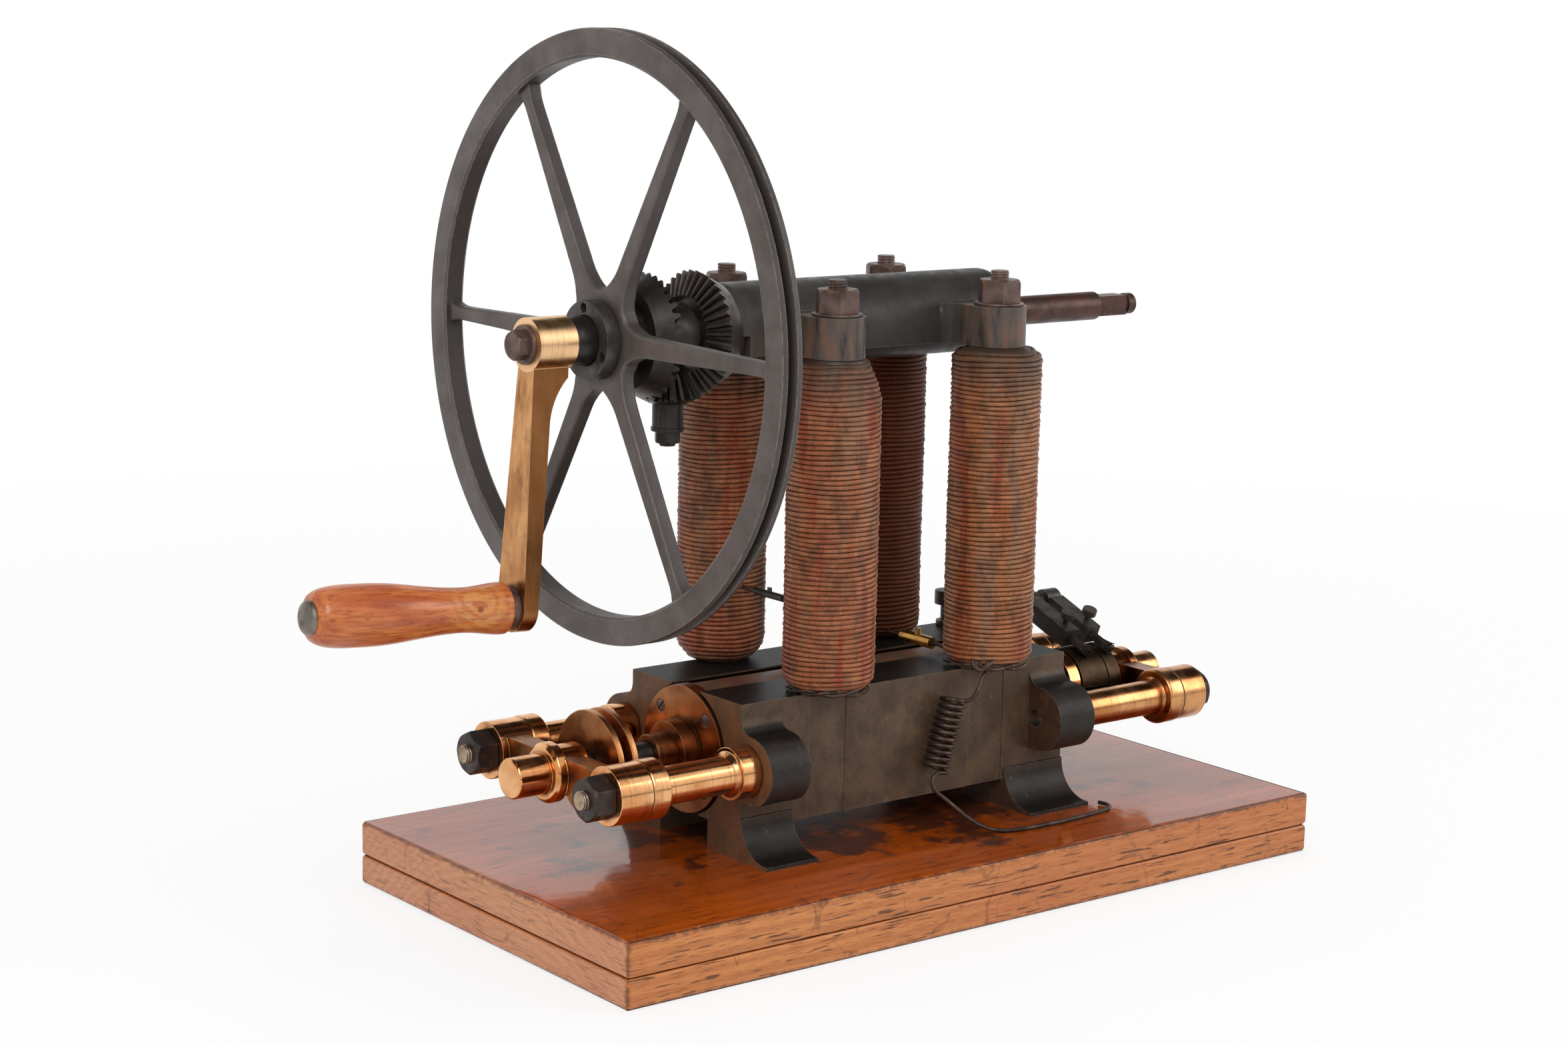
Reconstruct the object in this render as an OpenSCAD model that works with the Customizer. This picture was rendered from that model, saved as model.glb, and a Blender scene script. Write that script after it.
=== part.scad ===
/* [Base] */
// Length of the two base boards, along the shafts
base_l = 460; // [440:1:520]
// Width of the two base boards
base_w = 241; // [220:1:300]
// Thickness of the lower board
lower_board_t = 15.5; // [13:0.5:24]
// Thickness of the upper board
upper_board_t = 18; // [12:0.5:28]

/* [Pole pieces] */
// Length of a pole piece along the armature
pole_l = 220; // [212:1:232]
// Height of the armature axis above the base
axis_h = 48; // [46:0.5:54]
// Height of the pole block above the armature axis
block_up = 32.5; // [30:0.5:36]
// Depth of the pole block below the armature axis
block_down = 32.5; // [28:0.5:35]
// Distance of the block's flat side from the centre plane
block_w = 46.7; // [44:0.1:50]
// Width of the slot between the two pole pieces
pole_gap = 24.8; // [20:0.2:32]
// Radius of the armature tunnel
tunnel_r = 34; // [32:0.1:36]
// Radius of the rounded lugs that carry the pillars
lug_r = 17.5; // [15:0.5:20]
// Length of a lug along the armature
lug_l = 25; // [18:1:30]
// Length of a front foot along the armature
front_foot_l = 33; // [28:1:40]
// Length of a rear foot along the armature
rear_foot_l = 42; // [28:1:42]
// Distance of a foot's tip from the centre plane
foot_tip = 70; // [66:0.5:78]
// Radius of the concave flare of a foot
flare_r = 20; // [16:0.5:21]
// Thickness of a foot at its tip
foot_edge_t = 1.9; // [1:0.1:4]
// Radius of the bolts that hold the feet
foot_bolt_r = 4; // [3:0.25:5]

/* [Field coils] */
// Distance of a coil's axis from the middle, along the shafts
coil_x = 54.2; // [52:0.1:58]
// Distance of a coil's axis from the centre plane
coil_y = 45.8; // [44:0.1:48]
// Radius of a finished coil
coil_r = 24.3; // [22:0.1:26]
// Radius of the iron core in a coil
core_r = 12; // [10:0.5:13]
// Length of the iron core between pole piece and yoke
core_l = 170.5; // [160:0.5:190]
// Radius of the stud on top of a core
stud_r = 4.5; // [3.5:0.25:6]
// Number of loops shown in the outer layer of a coil
coil_loops = 14; // [8:1:14]
// Depth of the outer layer of a coil
layer_t = 3; // [2:0.1:4]

/* [Yoke] */
// Length of the yoke's barrel from the middle to the fixed gear
yoke_front_l = 97.8; // [94:0.1:102]
// Length of the yoke's barrel from the middle to its rounded rear end
yoke_rear_l = 91; // [85:1:96]
// Radius of the yoke's barrel
yoke_r = 24.5; // [22:0.5:27]
// Height of the crank shaft's axis above the underside of the yoke's lugs
yoke_rise = 10.5; // [8:0.5:14]
// Thickness of a yoke lug
yoke_lug_t = 21; // [16:0.5:23]
// Radius of a yoke lug
yoke_lug_r = 14.5; // [13:0.5:17]
// Width of the hexagon nuts across flats
nut_w = 20; // [17:0.5:22]
// Height of the hexagon nuts
nut_h = 12; // [9:0.5:15]

/* [Crank and gear train] */
// Radius of the crank shaft
shaft_r = 8; // [7:0.25:9]
// Width across the squared ends of the crank shaft
square_w = 11; // [9:0.25:12]
// Length of the crank shaft's free end beyond the yoke
free_end_l = 75; // [50:1:100]
// Radius of the crank shaft's free end
free_end_r = 7.8; // [6.5:0.1:8]
// Distance from the crank shaft's axis to the handle's axis, along the arm
crank_throw = 128; // [100:1:140]
// Lean of the crank arm away from the wheel, in degrees
arm_lean = 4; // [0:0.5:6]
// Length of the crank's boss
crank_boss_l = 21.7; // [19:0.1:26]
// Radius of the crank's boss
crank_boss_r = 13; // [12:0.5:16]
// Length of the wooden grip
grip_l = 105; // [90:1:125]
// Largest radius of the wooden grip
grip_r = 15; // [13:0.5:17]
// Number of teeth of each large bevel gear
gear_teeth = 36; // [36:36:36]
// Number of teeth of the planet gear
planet_teeth = 18; // [18:18:18]
// Pitch radius of each large bevel gear at its outer end
gear_r = 31; // [30:0.1:32.5]
// Length of a tooth along its cone
face_w = 13.5; // [10:0.5:14]
// Radius of the planet carrier
carrier_r = 16; // [14:0.5:16.5]

/* [Drive wheel] */
// Outer radius of the drive wheel
wheel_r = 150; // [130:1:160]
// Width of the wheel's rim
rim_w = 12; // [10:0.5:15]
// Depth of the wheel's rim from the outside to the inside
rim_t = 14; // [11:0.5:18]
// Width of the belt groove in wheel and pulley
groove_w = 5; // [3:0.25:6]
// Depth of the belt groove in the wheel
groove_h = 5; // [3:0.25:7]
// Radius of the wheel's hub
hub_r = 25; // [22:0.5:28]
// Number of spokes
spokes = 6; // [5:1:8]

/* [Armature and bearings] */
// Air gap between armature and tunnel
air_gap = 0.8; // [0.5:0.1:1.5]
// Radius of the armature shaft
arbor_r = 7; // [6:0.25:8]
// Outer radius of the pulley
pulley_r = 28; // [22:0.5:32]
// Width of the pulley
pulley_w = 12; // [10:0.5:14]
// Radius of the commutator
commutator_r = 20; // [17:0.5:22]
// Distance of a pillar's axis from the centre plane
pillar_y = 52; // [50:0.5:56]
// Radius of a pillar's shank
pillar_r = 9.6; // [8:0.2:11]
// Clearance between the pulley and the front bearing bridge
bridge_gap = 7; // [4:0.5:12]
// Length of a rear pillar
rear_pillar_l = 75; // [73:1:82]
// Length of the eyes of the front bearing bridge
front_eye_l = 19; // [15:1:23]
// Length of the eyes of the rear bearing bridge
rear_eye_l = 16.5; // [14:0.5:20]
// Radius of the eyes of a bearing bridge
eye_r = 14.8; // [13:0.2:16]
// Length of a bearing's closed cap
cap_l = 19; // [14:1:24]
// Radius of a bearing's closed cap
cap_r = 10.3; // [9.5:0.1:12]

/* [Brushes and leads] */
// Radius of a wire brush
brush_r = 2.6; // [2:0.1:3.2]
// Slope of the brushes, in degrees
brush_tilt = 21; // [15:1:26]
// Length of a wire brush
brush_l = 44; // [36:1:48]
// Radius of the connecting wire
wire_r = 1.1; // [0.8:0.1:1.3]
// Number of curls in the pigtail of the lead
curls = 11; // [6:1:12]

/* [Hidden] */
$fn = 64;

// Clearance of a running fit, on the radius
run_gap = 0.05;
// Clearance between pieces that only pass by each other
free_gap = 0.3;
// Allowance by which a cutter runs past a face
past = 1;

// Levels and planes
base_t = lower_board_t + upper_board_t;
axis_z = base_t + axis_h;
pole_top = axis_z + block_up;
lug_z = pole_top + core_l;
shaft_z = lug_z + yoke_rise;
pole_end = pole_l / 2;
yoke_end = yoke_rear_l;
yoke_l = yoke_front_l + yoke_rear_l;

// Signs of the four coils: along the shafts, then across them
coil_signs = [for (x = [-1, 1]) for (y = [-1, 1]) [x, y]];
// Signs of the four pillars, in the same order
pillar_signs = coil_signs;

// A round bar along the shafts
module bar_x(r, x0, x1) {
    translate([x0, 0, 0]) rotate([0, 90, 0]) cylinder(h = x1 - x0, r = r);
}

// A body turned about the shafts, from points of radius and place
module turned_x(points) {
    rotate([0, 90, 0]) rotate_extrude() polygon(points);
}

// A hexagon nut standing on the XY plane, with its top corners turned off
module hex_nut(width, height, bore) {
    corner = width / sqrt(3);
    turn_off = width / 12;
    difference() {
        intersection() {
            cylinder(h = height, r = corner, $fn = 6);
            rotate_extrude() polygon([
                [0, 0], [corner, 0], [corner, height - turn_off], [corner - turn_off, height], [0, height]
            ]);
        }
        translate([0, 0, -past]) cylinder(h = height + 2 * past, r = bore);
    }
}

// Base boards
bolt_x = pole_end - front_foot_l / 2;
bolt_y = (pole_gap / 2 + foot_tip) / 2;
bolt_head_h = 6;
bolt_head_w = 3.25 * foot_bolt_r;
bolt_recess_r = bolt_head_w / sqrt(3) + 1.5;
bolt_recess_h = bolt_head_h + 2;
bolt_grip = 14;

module at_feet() {
    for (x = [-1, 1]) for (y = [-1, 1]) translate([x * bolt_x, y * bolt_y, 0]) children();
}

module base_lower_board() {
    color("sienna") difference() {
        translate([-base_l / 2, -base_w / 2, 0]) cube([base_l, base_w, lower_board_t]);
        at_feet() translate([0, 0, -past]) cylinder(h = lower_board_t + 2 * past, r = foot_bolt_r + run_gap);
        at_feet() translate([0, 0, -past]) cylinder(h = bolt_recess_h + past, r = bolt_recess_r);
    }
}

module base_upper_board() {
    color("peru") difference() {
        translate([-base_l / 2, -base_w / 2, lower_board_t]) cube([base_l, base_w, upper_board_t]);
        at_feet() translate([0, 0, lower_board_t - past])
            cylinder(h = upper_board_t + 2 * past, r = foot_bolt_r + run_gap);
    }
}

module foot_bolts() {
    color("dimgray") at_feet() {
        translate([0, 0, bolt_recess_h]) cylinder(h = base_t + bolt_grip - bolt_recess_h, r = foot_bolt_r);
        translate([0, 0, bolt_recess_h - bolt_head_h]) hex_nut(bolt_head_w, bolt_head_h, 0);
    }
}

// Pole pieces, drawn across the shafts with the centre plane at the left and the armature axis at the origin
lug_out = 3;
lug_top_fillet = 8;
stud_hole_r = stud_r + run_gap;
bolt_end_gap = 1;

module pole_block_outline() {
    translate([0, -block_down]) square([block_w, block_up + block_down]);
}

module pole_foot_outline() {
    difference() {
        translate([0, -axis_h]) square([foot_tip, axis_h]);
        translate([foot_tip - 2, foot_edge_t + flare_r - axis_h]) circle(r = flare_r);
        translate([foot_tip - 2, foot_edge_t + flare_r - axis_h]) square([flare_r, axis_h]);
        translate([foot_tip - 2, foot_edge_t - axis_h]) square([flare_r, flare_r]);
        translate([block_w, foot_edge_t + flare_r - axis_h]) square([foot_tip, axis_h]);
        translate([-past, -axis_h - past]) square([pole_gap / 2 + 8 + past, axis_h - block_down + past]);
    }
}

module pole_lug_outline() {
    translate([pillar_y + lug_out, 0]) circle(r = lug_r);
    translate([0, -lug_r]) square([pillar_y + lug_out, 2 * lug_r]);
    difference() {
        translate([0, 0]) square([block_w + lug_top_fillet, lug_r + lug_top_fillet]);
        translate([block_w + lug_top_fillet, lug_r + lug_top_fillet]) circle(r = lug_top_fillet);
    }
}

module stand(x0, length) {
    translate([x0, 0, axis_z]) rotate([90, 0, 90]) linear_extrude(length) children();
}

module pole_piece() {
    difference() {
        union() {
            stand(-pole_end, pole_l) pole_block_outline();
            for (x = [-pole_end, pole_end - lug_l]) stand(x, lug_l) pole_lug_outline();
            stand(-pole_end, front_foot_l) pole_foot_outline();
            stand(pole_end - rear_foot_l, rear_foot_l) pole_foot_outline();
        }
        translate([0, 0, axis_z]) bar_x(tunnel_r, -pole_end - past, pole_end + past);
        translate([-pole_end - past, -block_w, base_t - past]) cube([pole_l + 2 * past, block_w + pole_gap / 2, pole_top]);
        for (x = [-coil_x, coil_x]) translate([x, coil_y, axis_z - block_down - past])
            cylinder(h = block_up + block_down + 2 * past, r = core_r + run_gap);
        for (x = [-1, 1]) translate([0, pillar_y, axis_z])
            bar_x(stud_hole_r, min(x * (pole_end + past), x * (pole_end - lug_l - past)),
                max(x * (pole_end + past), x * (pole_end - lug_l - past)));
        for (x = [-bolt_x, bolt_x]) translate([x, bolt_y, base_t - past])
            cylinder(h = bolt_grip + bolt_end_gap + past, r = foot_bolt_r + run_gap);
    }
}

module pole_piece_near() {
    color("dimgray") mirror([0, 1, 0]) pole_piece();
}

module pole_piece_far() {
    color("dimgray") pole_piece();
}

// Cores: round bars let into grooves of the pole pieces and cut flush there, with a stud through the yoke's lug
flush_drop = 0.4;
washer_t = 1.5;
washer_r = 13;
stud_out = 4.5;
stud_end = yoke_lug_t + washer_t + nut_h + stud_out;

module core(sx, sy) {
    color("slategray") translate([sx * coil_x, sy * coil_y, 0]) {
        difference() {
            translate([0, 0, axis_z - block_down]) cylinder(h = block_down + block_up + core_l, r = core_r);
            translate([-core_r, sy > 0 ? block_w - flush_drop - coil_y : -2 * core_r - block_w + flush_drop + coil_y, 0])
                cube([2 * core_r, 2 * core_r, pole_top]);
        }
        translate([0, 0, lug_z]) cylinder(h = stud_end, r = stud_r);
    }
}

module core_near_left() { core(-1, -1); }
module core_near_right() { core(1, -1); }
module core_far_left() { core(-1, 1); }
module core_far_right() { core(1, 1); }

// Tube of six sides along rings of points
function tube_faces(rings, sides) = concat(
    [for (i = [1 : sides - 2]) [0, i + 1, i]],
    [for (j = [0 : rings - 2]) for (i = [0 : sides - 1])
        [j * sides + i, (j + 1) * sides + (i + 1) % sides, (j + 1) * sides + i]],
    [for (j = [0 : rings - 2]) for (i = [0 : sides - 1])
        [j * sides + i, j * sides + (i + 1) % sides, (j + 1) * sides + (i + 1) % sides]],
    [for (i = [1 : sides - 2]) [(rings - 1) * sides, (rings - 1) * sides + i, (rings - 1) * sides + i + 1]]
);

// Coils: the inner layers as a plain body with sloping ends, and the outer layer as one wound tube
coil_sides = 6;
loop_rings = 12;
coil_neck_r = core_r + 5;
coil_neck_h = 2;
coil_slope_h = 6;
coil_end_gap = 0.5;
loop_gap = 0.5;
coil_low = pole_top + free_gap + coil_neck_h + coil_slope_h;
coil_high = lug_z - free_gap - coil_neck_h - coil_slope_h;
loop_pitch = (coil_high - coil_low - 2 * coil_end_gap) / (coil_loops + 1);
loop_h = loop_pitch - loop_gap;
loop_path_r = coil_r - layer_t / 2;
coil_body_r = (loop_path_r - layer_t / 2) * cos(180 / loop_rings) - free_gap;
coil_rings = coil_loops * loop_rings + 1;
coil_end_r = coil_r - layer_t / 2;

function loop_ring(angle, z, back) = [for (i = [0 : coil_sides - 1])
    let (
        out = loop_path_r + layer_t / 2 * cos(360 * i / coil_sides),
        up = z + loop_h / 2 * sin(360 * i / coil_sides) / sin(60)
    )
    [out * cos(angle) + back * sin(angle), out * sin(angle) - back * cos(angle), up]
];

coil_first_z = coil_low + coil_end_gap + loop_pitch / 2;
coil_points = [for (ring = concat(
    [loop_ring(0, coil_first_z, layer_t)],
    [for (j = [0 : coil_rings - 1])
        loop_ring(360 * j / loop_rings, coil_first_z + loop_pitch * j / loop_rings, 0)],
    [loop_ring(360 * coil_loops, coil_first_z + loop_pitch * coil_loops, -layer_t)]
)) for (p = ring) p];

// Least distance from a loop's points to those of the next loop
coil_gap = min([for (j = [1 : loop_rings]) for (a = [0 : coil_sides - 1])
    for (k = [j + loop_rings - 1 : j + loop_rings + 1]) for (b = [0 : coil_sides - 1])
    norm(coil_points[j * coil_sides + a] - coil_points[k * coil_sides + b])]);
echo(coil_least_gap = coil_gap);

module coil(sx, sy) {
    color("sienna") translate([sx * coil_x, sy * coil_y, 0]) {
        rotate_extrude() polygon([
            [core_r + run_gap, pole_top + free_gap], [coil_neck_r, pole_top + free_gap],
            [coil_neck_r, coil_low - coil_slope_h], [coil_end_r, coil_low - coil_end_gap],
            [coil_body_r, coil_low - coil_end_gap], [coil_body_r, coil_high + coil_end_gap],
            [coil_end_r, coil_high + coil_end_gap], [coil_neck_r, coil_high + coil_slope_h],
            [coil_neck_r, lug_z - free_gap], [core_r + run_gap, lug_z - free_gap]
        ]);
        polyhedron(coil_points, tube_faces(coil_rings + 2, coil_sides));
    }
}

module coil_near_left() { coil(-1, -1); }
module coil_near_right() { coil(1, -1); }
module coil_far_left() { coil(-1, 1); }
module coil_far_right() { coil(1, 1); }

// Yoke: a barrel with a flat-sided skirt and four lugs
yoke_round = 12;
yoke_front_round = 6;
keel_r = yoke_r - 5;
web_fillet = 8;

module yoke_lug_outline(sx, sy) {
    translate([sx * coil_x, sy * coil_y]) circle(r = yoke_lug_r);
    translate([sx * coil_x - yoke_lug_r, min(0, sy * coil_y)]) square([2 * yoke_lug_r, coil_y]);
    for (side = [-1, 1]) translate([sx * coil_x + side * yoke_lug_r, sy * yoke_r]) difference() {
        translate([min(0, side * web_fillet), min(0, sy * web_fillet)]) square(web_fillet);
        translate([side * web_fillet, sy * web_fillet]) circle(r = web_fillet);
    }
}

module yoke() {
    color("darkslategray") difference() {
        union() {
            translate([0, 0, shaft_z]) {
                intersection() {
                    rotate([0, 90, 0]) rotate_extrude() intersection() {
                        union() {
                            translate([0, yoke_front_round - yoke_front_l])
                                square([yoke_r, yoke_l - yoke_round - yoke_front_round]);
                            translate([0, -yoke_front_l]) square([yoke_r - yoke_front_round, yoke_l]);
                            translate([yoke_r - yoke_round, yoke_end - yoke_round]) circle(r = yoke_round);
                            translate([yoke_r - yoke_front_round, yoke_front_round - yoke_front_l])
                                circle(r = yoke_front_round);
                        }
                        translate([0, -yoke_front_l]) square([yoke_r, yoke_l]);
                    }
                    translate([-yoke_l, -yoke_l, 0]) cube(2 * yoke_l);
                }
                bar_x(keel_r, -yoke_front_l, yoke_end - yoke_round);
            }
            translate([yoke_front_round - yoke_front_l, -yoke_r, lug_z])
                cube([yoke_l - yoke_round - yoke_front_round, 2 * yoke_r, yoke_rise]);
            translate([0, 0, lug_z]) linear_extrude(yoke_lug_t)
                for (s = coil_signs) yoke_lug_outline(s[0], s[1]);
        }
        translate([0, 0, shaft_z]) bar_x(shaft_r + run_gap, -yoke_front_l - past, yoke_end + past);
        for (s = coil_signs) translate([s[0] * coil_x, s[1] * coil_y, lug_z - past])
            cylinder(h = yoke_lug_t + 2 * past, r = stud_r + run_gap);
    }
}

module at_studs(z) {
    for (s = coil_signs) translate([s[0] * coil_x, s[1] * coil_y, z]) children();
}

module yoke_washers() {
    color("dimgray") at_studs(lug_z + yoke_lug_t) difference() {
        cylinder(h = washer_t, r = washer_r);
        translate([0, 0, -past]) cylinder(h = washer_t + 2 * past, r = stud_r + run_gap);
    }
}

module yoke_nuts() {
    color("dimgray") at_studs(lug_z + yoke_lug_t + washer_t) hex_nut(nut_w, nut_h, stud_r + run_gap);
}

// Bevel gears: cones that meet at one apex on the crank shaft, with tooth spaces that run to the apex
planet_r = gear_r * planet_teeth / gear_teeth;
cone_l = sqrt(gear_r * gear_r + planet_r * planet_r);
gear_angle = atan(gear_r / planet_r);
planet_angle = 90 - gear_angle;
tooth_pitch = 2 * PI * gear_r / gear_teeth;
tooth_share = 0.42;
tooth_up = 0.85 * 2 * gear_r / gear_teeth;
tooth_down = 1.15 * 2 * gear_r / gear_teeth;
flank_angle = 20;
inner_share = (cone_l - face_w) / cone_l;
gear_back_l = 12;
apex_to_seat = planet_r + gear_back_l * sin(gear_angle);
apex_x = -yoke_front_l - apex_to_seat;
slot_reach = 1.3;

// Point of a tooth space: height over the pitch cone and half-width, at the outer end of the teeth
function tooth_point(r, t, angle, h, w) = slot_reach * [r + h * cos(angle), w, t - h * sin(angle)];

module tooth_spaces(n, r, t, angle) {
    open_half = tooth_pitch * (1 - tooth_share) / 2;
    high = 1.6 * tooth_up;
    top_w = open_half + high * tan(flank_angle);
    low_w = open_half - tooth_down * tan(flank_angle);
    for (i = [0 : n - 1]) rotate([0, 0, 360 * i / n]) polyhedron(
        [
            [0, 0, 0],
            tooth_point(r, t, angle, -tooth_down, -low_w), tooth_point(r, t, angle, -tooth_down, low_w),
            tooth_point(r, t, angle, high, top_w), tooth_point(r, t, angle, high, -top_w)
        ],
        [[0, 2, 1], [0, 3, 2], [0, 4, 3], [0, 1, 4], [1, 2, 3], [1, 3, 4]]
    );
}

// A bevel gear on the Z axis with its apex at the origin: back_l along the back cone, hub out to hub_t
module bevel_gear(n, r, t, angle, back_l, front_l, hub, hub_t, nose_r, nose_t, bore) {
    tip = [r + tooth_up * cos(angle), t - tooth_up * sin(angle)];
    down = [-cos(angle), sin(angle)];
    back = [r, t] + back_l * down;
    front = inner_share * tip + front_l * down;
    difference() {
        rotate_extrude() polygon([
            [bore, nose_t], [nose_r, nose_t], [nose_r, front[1]], front, inner_share * tip, tip,
            back, [hub, back[1]], [hub, hub_t], [bore, hub_t]
        ]);
        tooth_spaces(n, r, t, angle);
    }
}

carrier_half = 7;
nose_r = 12;
gear_nose_t = carrier_half + free_gap;
gear_hub_r = 18;
gear_front_l = 4;
wheel_seat_t = 29;

module fixed_bevel_gear() {
    color("darkslategray") translate([apex_x, 0, shaft_z]) rotate([0, 90, 0])
        bevel_gear(gear_teeth, gear_r, planet_r, gear_angle, gear_back_l, gear_front_l,
            gear_hub_r, apex_to_seat, nose_r, gear_nose_t, shaft_r + free_gap);
}

module wheel_bevel_gear() {
    color("darkslategray") translate([apex_x, 0, shaft_z]) rotate([0, -90, 0])
        bevel_gear(gear_teeth, gear_r, planet_r, gear_angle, gear_back_l, gear_front_l,
            gear_hub_r, wheel_seat_t, nose_r, gear_nose_t, shaft_r + run_gap);
}

planet_stud_r = 4;
planet_boss_r = 7.8;
planet_boss_end = 46;
planet_back_l = 6;
planet_front_l = 3.5;
planet_nose_r = 6;
planet_nose_t = 20;
planet_washer_t = 2;
planet_washer_r = 8.4;
planet_nut_w = 12;
planet_nut_h = 6;
planet_stud_out = 1.5;

module under_apex() {
    translate([apex_x, 0, shaft_z]) rotate([180, 0, 0]) children();
}

module planet_gear() {
    color("darkslategray") under_apex() rotate([0, 0, 180 / planet_teeth])
        bevel_gear(planet_teeth, planet_r, gear_r, planet_angle, planet_back_l, planet_front_l,
            planet_boss_r, planet_boss_end, planet_nose_r, planet_nose_t, planet_stud_r + run_gap);
}

module planet_carrier() {
    seat_t = planet_nose_t - run_gap;
    color("dimgray") difference() {
        union() {
            translate([apex_x, 0, shaft_z]) bar_x(carrier_r, -carrier_half, carrier_half);
            under_apex() cylinder(h = seat_t, r = planet_nose_r);
        }
        translate([apex_x, 0, shaft_z]) bar_x(shaft_r + run_gap, -carrier_half - past, carrier_half + past);
        under_apex() cylinder(h = seat_t + past, r = planet_stud_r + run_gap);
    }
}

planet_washer_at = planet_boss_end + run_gap;
planet_nut_at = planet_washer_at + planet_washer_t;

module planet_stud() {
    color("gray") under_apex() translate([0, 0, shaft_r + run_gap + free_gap])
        cylinder(h = planet_nut_at + planet_nut_h + planet_stud_out - shaft_r - run_gap - free_gap, r = planet_stud_r);
}

module planet_washer() {
    color("dimgray") under_apex() translate([0, 0, planet_washer_at]) difference() {
        cylinder(h = planet_washer_t, r = planet_washer_r);
        translate([0, 0, -past]) cylinder(h = planet_washer_t + 2 * past, r = planet_stud_r + run_gap);
    }
}

module planet_nut() {
    color("dimgray") under_apex() translate([0, 0, planet_nut_at])
        hex_nut(planet_nut_w, planet_nut_h, planet_stud_r + run_gap);
}

// Drive wheel: hub, tapered spokes and a grooved rim, loose on the crank shaft
hub_l = 13.6;
hub_back = apex_x - wheel_seat_t;
hub_front = hub_back - hub_l;
rim_inset = 2.6;
wheel_x = hub_front + rim_inset;
spoke_t = 8;
spoke_out_w = 6.5;
spoke_in_w = 11;
spoke_root_w = 15;
spoke_root_r = 38;
spoke_x = hub_front;
rim_in = wheel_r - rim_t;

module spoke_outline() {
    polygon([
        [0, -spoke_in_w / 2], [rim_in + past, -spoke_out_w / 2], [rim_in + past, spoke_out_w / 2], [0, spoke_in_w / 2]
    ]);
    polygon([
        [0, -spoke_root_w / 2 - 2], [spoke_root_r, -spoke_root_w / 2 + 1.5],
        [spoke_root_r, spoke_root_w / 2 - 1.5], [0, spoke_root_w / 2 + 2]
    ]);
}

module drive_wheel() {
    color("dimgray") translate([0, 0, shaft_z]) difference() {
        union() {
            turned_x([
                [rim_in, wheel_x - rim_w / 2], [wheel_r, wheel_x - rim_w / 2],
                [wheel_r, wheel_x - groove_w / 2], [wheel_r - groove_h, wheel_x - groove_w / 4],
                [wheel_r - groove_h, wheel_x + groove_w / 4], [wheel_r, wheel_x + groove_w / 2],
                [wheel_r, wheel_x + rim_w / 2], [rim_in, wheel_x + rim_w / 2]
            ]);
            bar_x(hub_r, hub_front, hub_front + spoke_t + 1);
            bar_x(gear_hub_r, hub_front, hub_back);
            for (i = [0 : spokes - 1]) rotate([360 * i / spokes, 0, 0]) translate([spoke_x, 0, 0])
                rotate([90, 0, 90]) linear_extrude(spoke_t) spoke_outline();
        }
        bar_x(shaft_r + run_gap, hub_front - past, hub_back + past);
    }
}

// Hub ring with spanner holes, and the collar on the shaft that runs inside it
ring_r = 19.5;
ring_t = 8;
collar_r = 12;
ring_hole_r = 2.4;
ring_hole_h = 4;
ring_holes = 3;
collar_gap = 0.4;

module hub_ring() {
    color("dimgray") translate([0, 0, shaft_z]) difference() {
        bar_x(ring_r, hub_front - ring_t, hub_front);
        bar_x(collar_r + free_gap, hub_front - ring_t - past, hub_front + past);
        for (i = [0 : ring_holes - 1]) rotate([360 * i / ring_holes - 5, 0, 0])
            translate([0, 0, (ring_r + collar_r) / 2]) bar_x(ring_hole_r, hub_front - ring_t - past, hub_front - ring_t + ring_hole_h);
    }
}

collar_out = 12;
collar_front = hub_front - ring_t - collar_out;

module shaft_collar() {
    color("dimgray") translate([0, 0, shaft_z]) difference() {
        bar_x(collar_r, collar_front, hub_front - collar_gap);
        bar_x(shaft_r + run_gap, collar_front - past, hub_front + past);
    }
}

// Crank shaft: round through the wheel and the yoke, squared at both ends, with a button at the free end
crank_front = collar_front - crank_boss_l;
square_l = 21;
button_r = 5.8;
button_l = 9;
button_neck_r = 4.6;
button_neck_l = 2.5;
button_round = 1.5;
shaft_end = yoke_end + free_end_l;
bolt_thread_r = 3.5;
bolt_thread_l = 15;
shaft_step = 0.3;

module square_x(width, x0, x1) {
    translate([x0, -width / 2, -width / 2]) cube([x1 - x0, width, width]);
}

module crank_shaft() {
    color("saddlebrown") translate([0, 0, shaft_z]) difference() {
        union() {
            square_x(square_w, crank_front + shaft_step, collar_front);
            bar_x(shaft_r, collar_front, yoke_end);
            bar_x(free_end_r, yoke_end, shaft_end);
            square_x(square_w, shaft_end, shaft_end + square_l);
            turned_x([
                [0, shaft_end + square_l], [button_neck_r, shaft_end + square_l],
                [button_neck_r, shaft_end + square_l + button_neck_l],
                [button_r, shaft_end + square_l + button_neck_l],
                [button_r, shaft_end + square_l + button_l - button_round],
                [button_r - button_round, shaft_end + square_l + button_l], [0, shaft_end + square_l + button_l]
            ]);
        }
        bar_x(bolt_thread_r + run_gap, crank_front - past, crank_front + bolt_thread_l + past);
    }
}

// Crank arm: a boss on the square and a leaning arm that widens towards the handle
arm_top_w = 12.6;
arm_end_r = 12;
arm_top_t = 10.5;
arm_end_t = 8.2;
arm_web_h = 26;
arm_web_edge = 2;
arm_web_l = crank_boss_l - 1.7;
spindle_r = 4.5;
crank_washer_r = 9.7;
arm_bend = crank_washer_r + 1;

module arm_frame() {
    translate([crank_front, 0, shaft_z - arm_bend]) rotate([0, arm_lean, 0]) translate([0, 0, arm_bend]) children();
}

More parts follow.
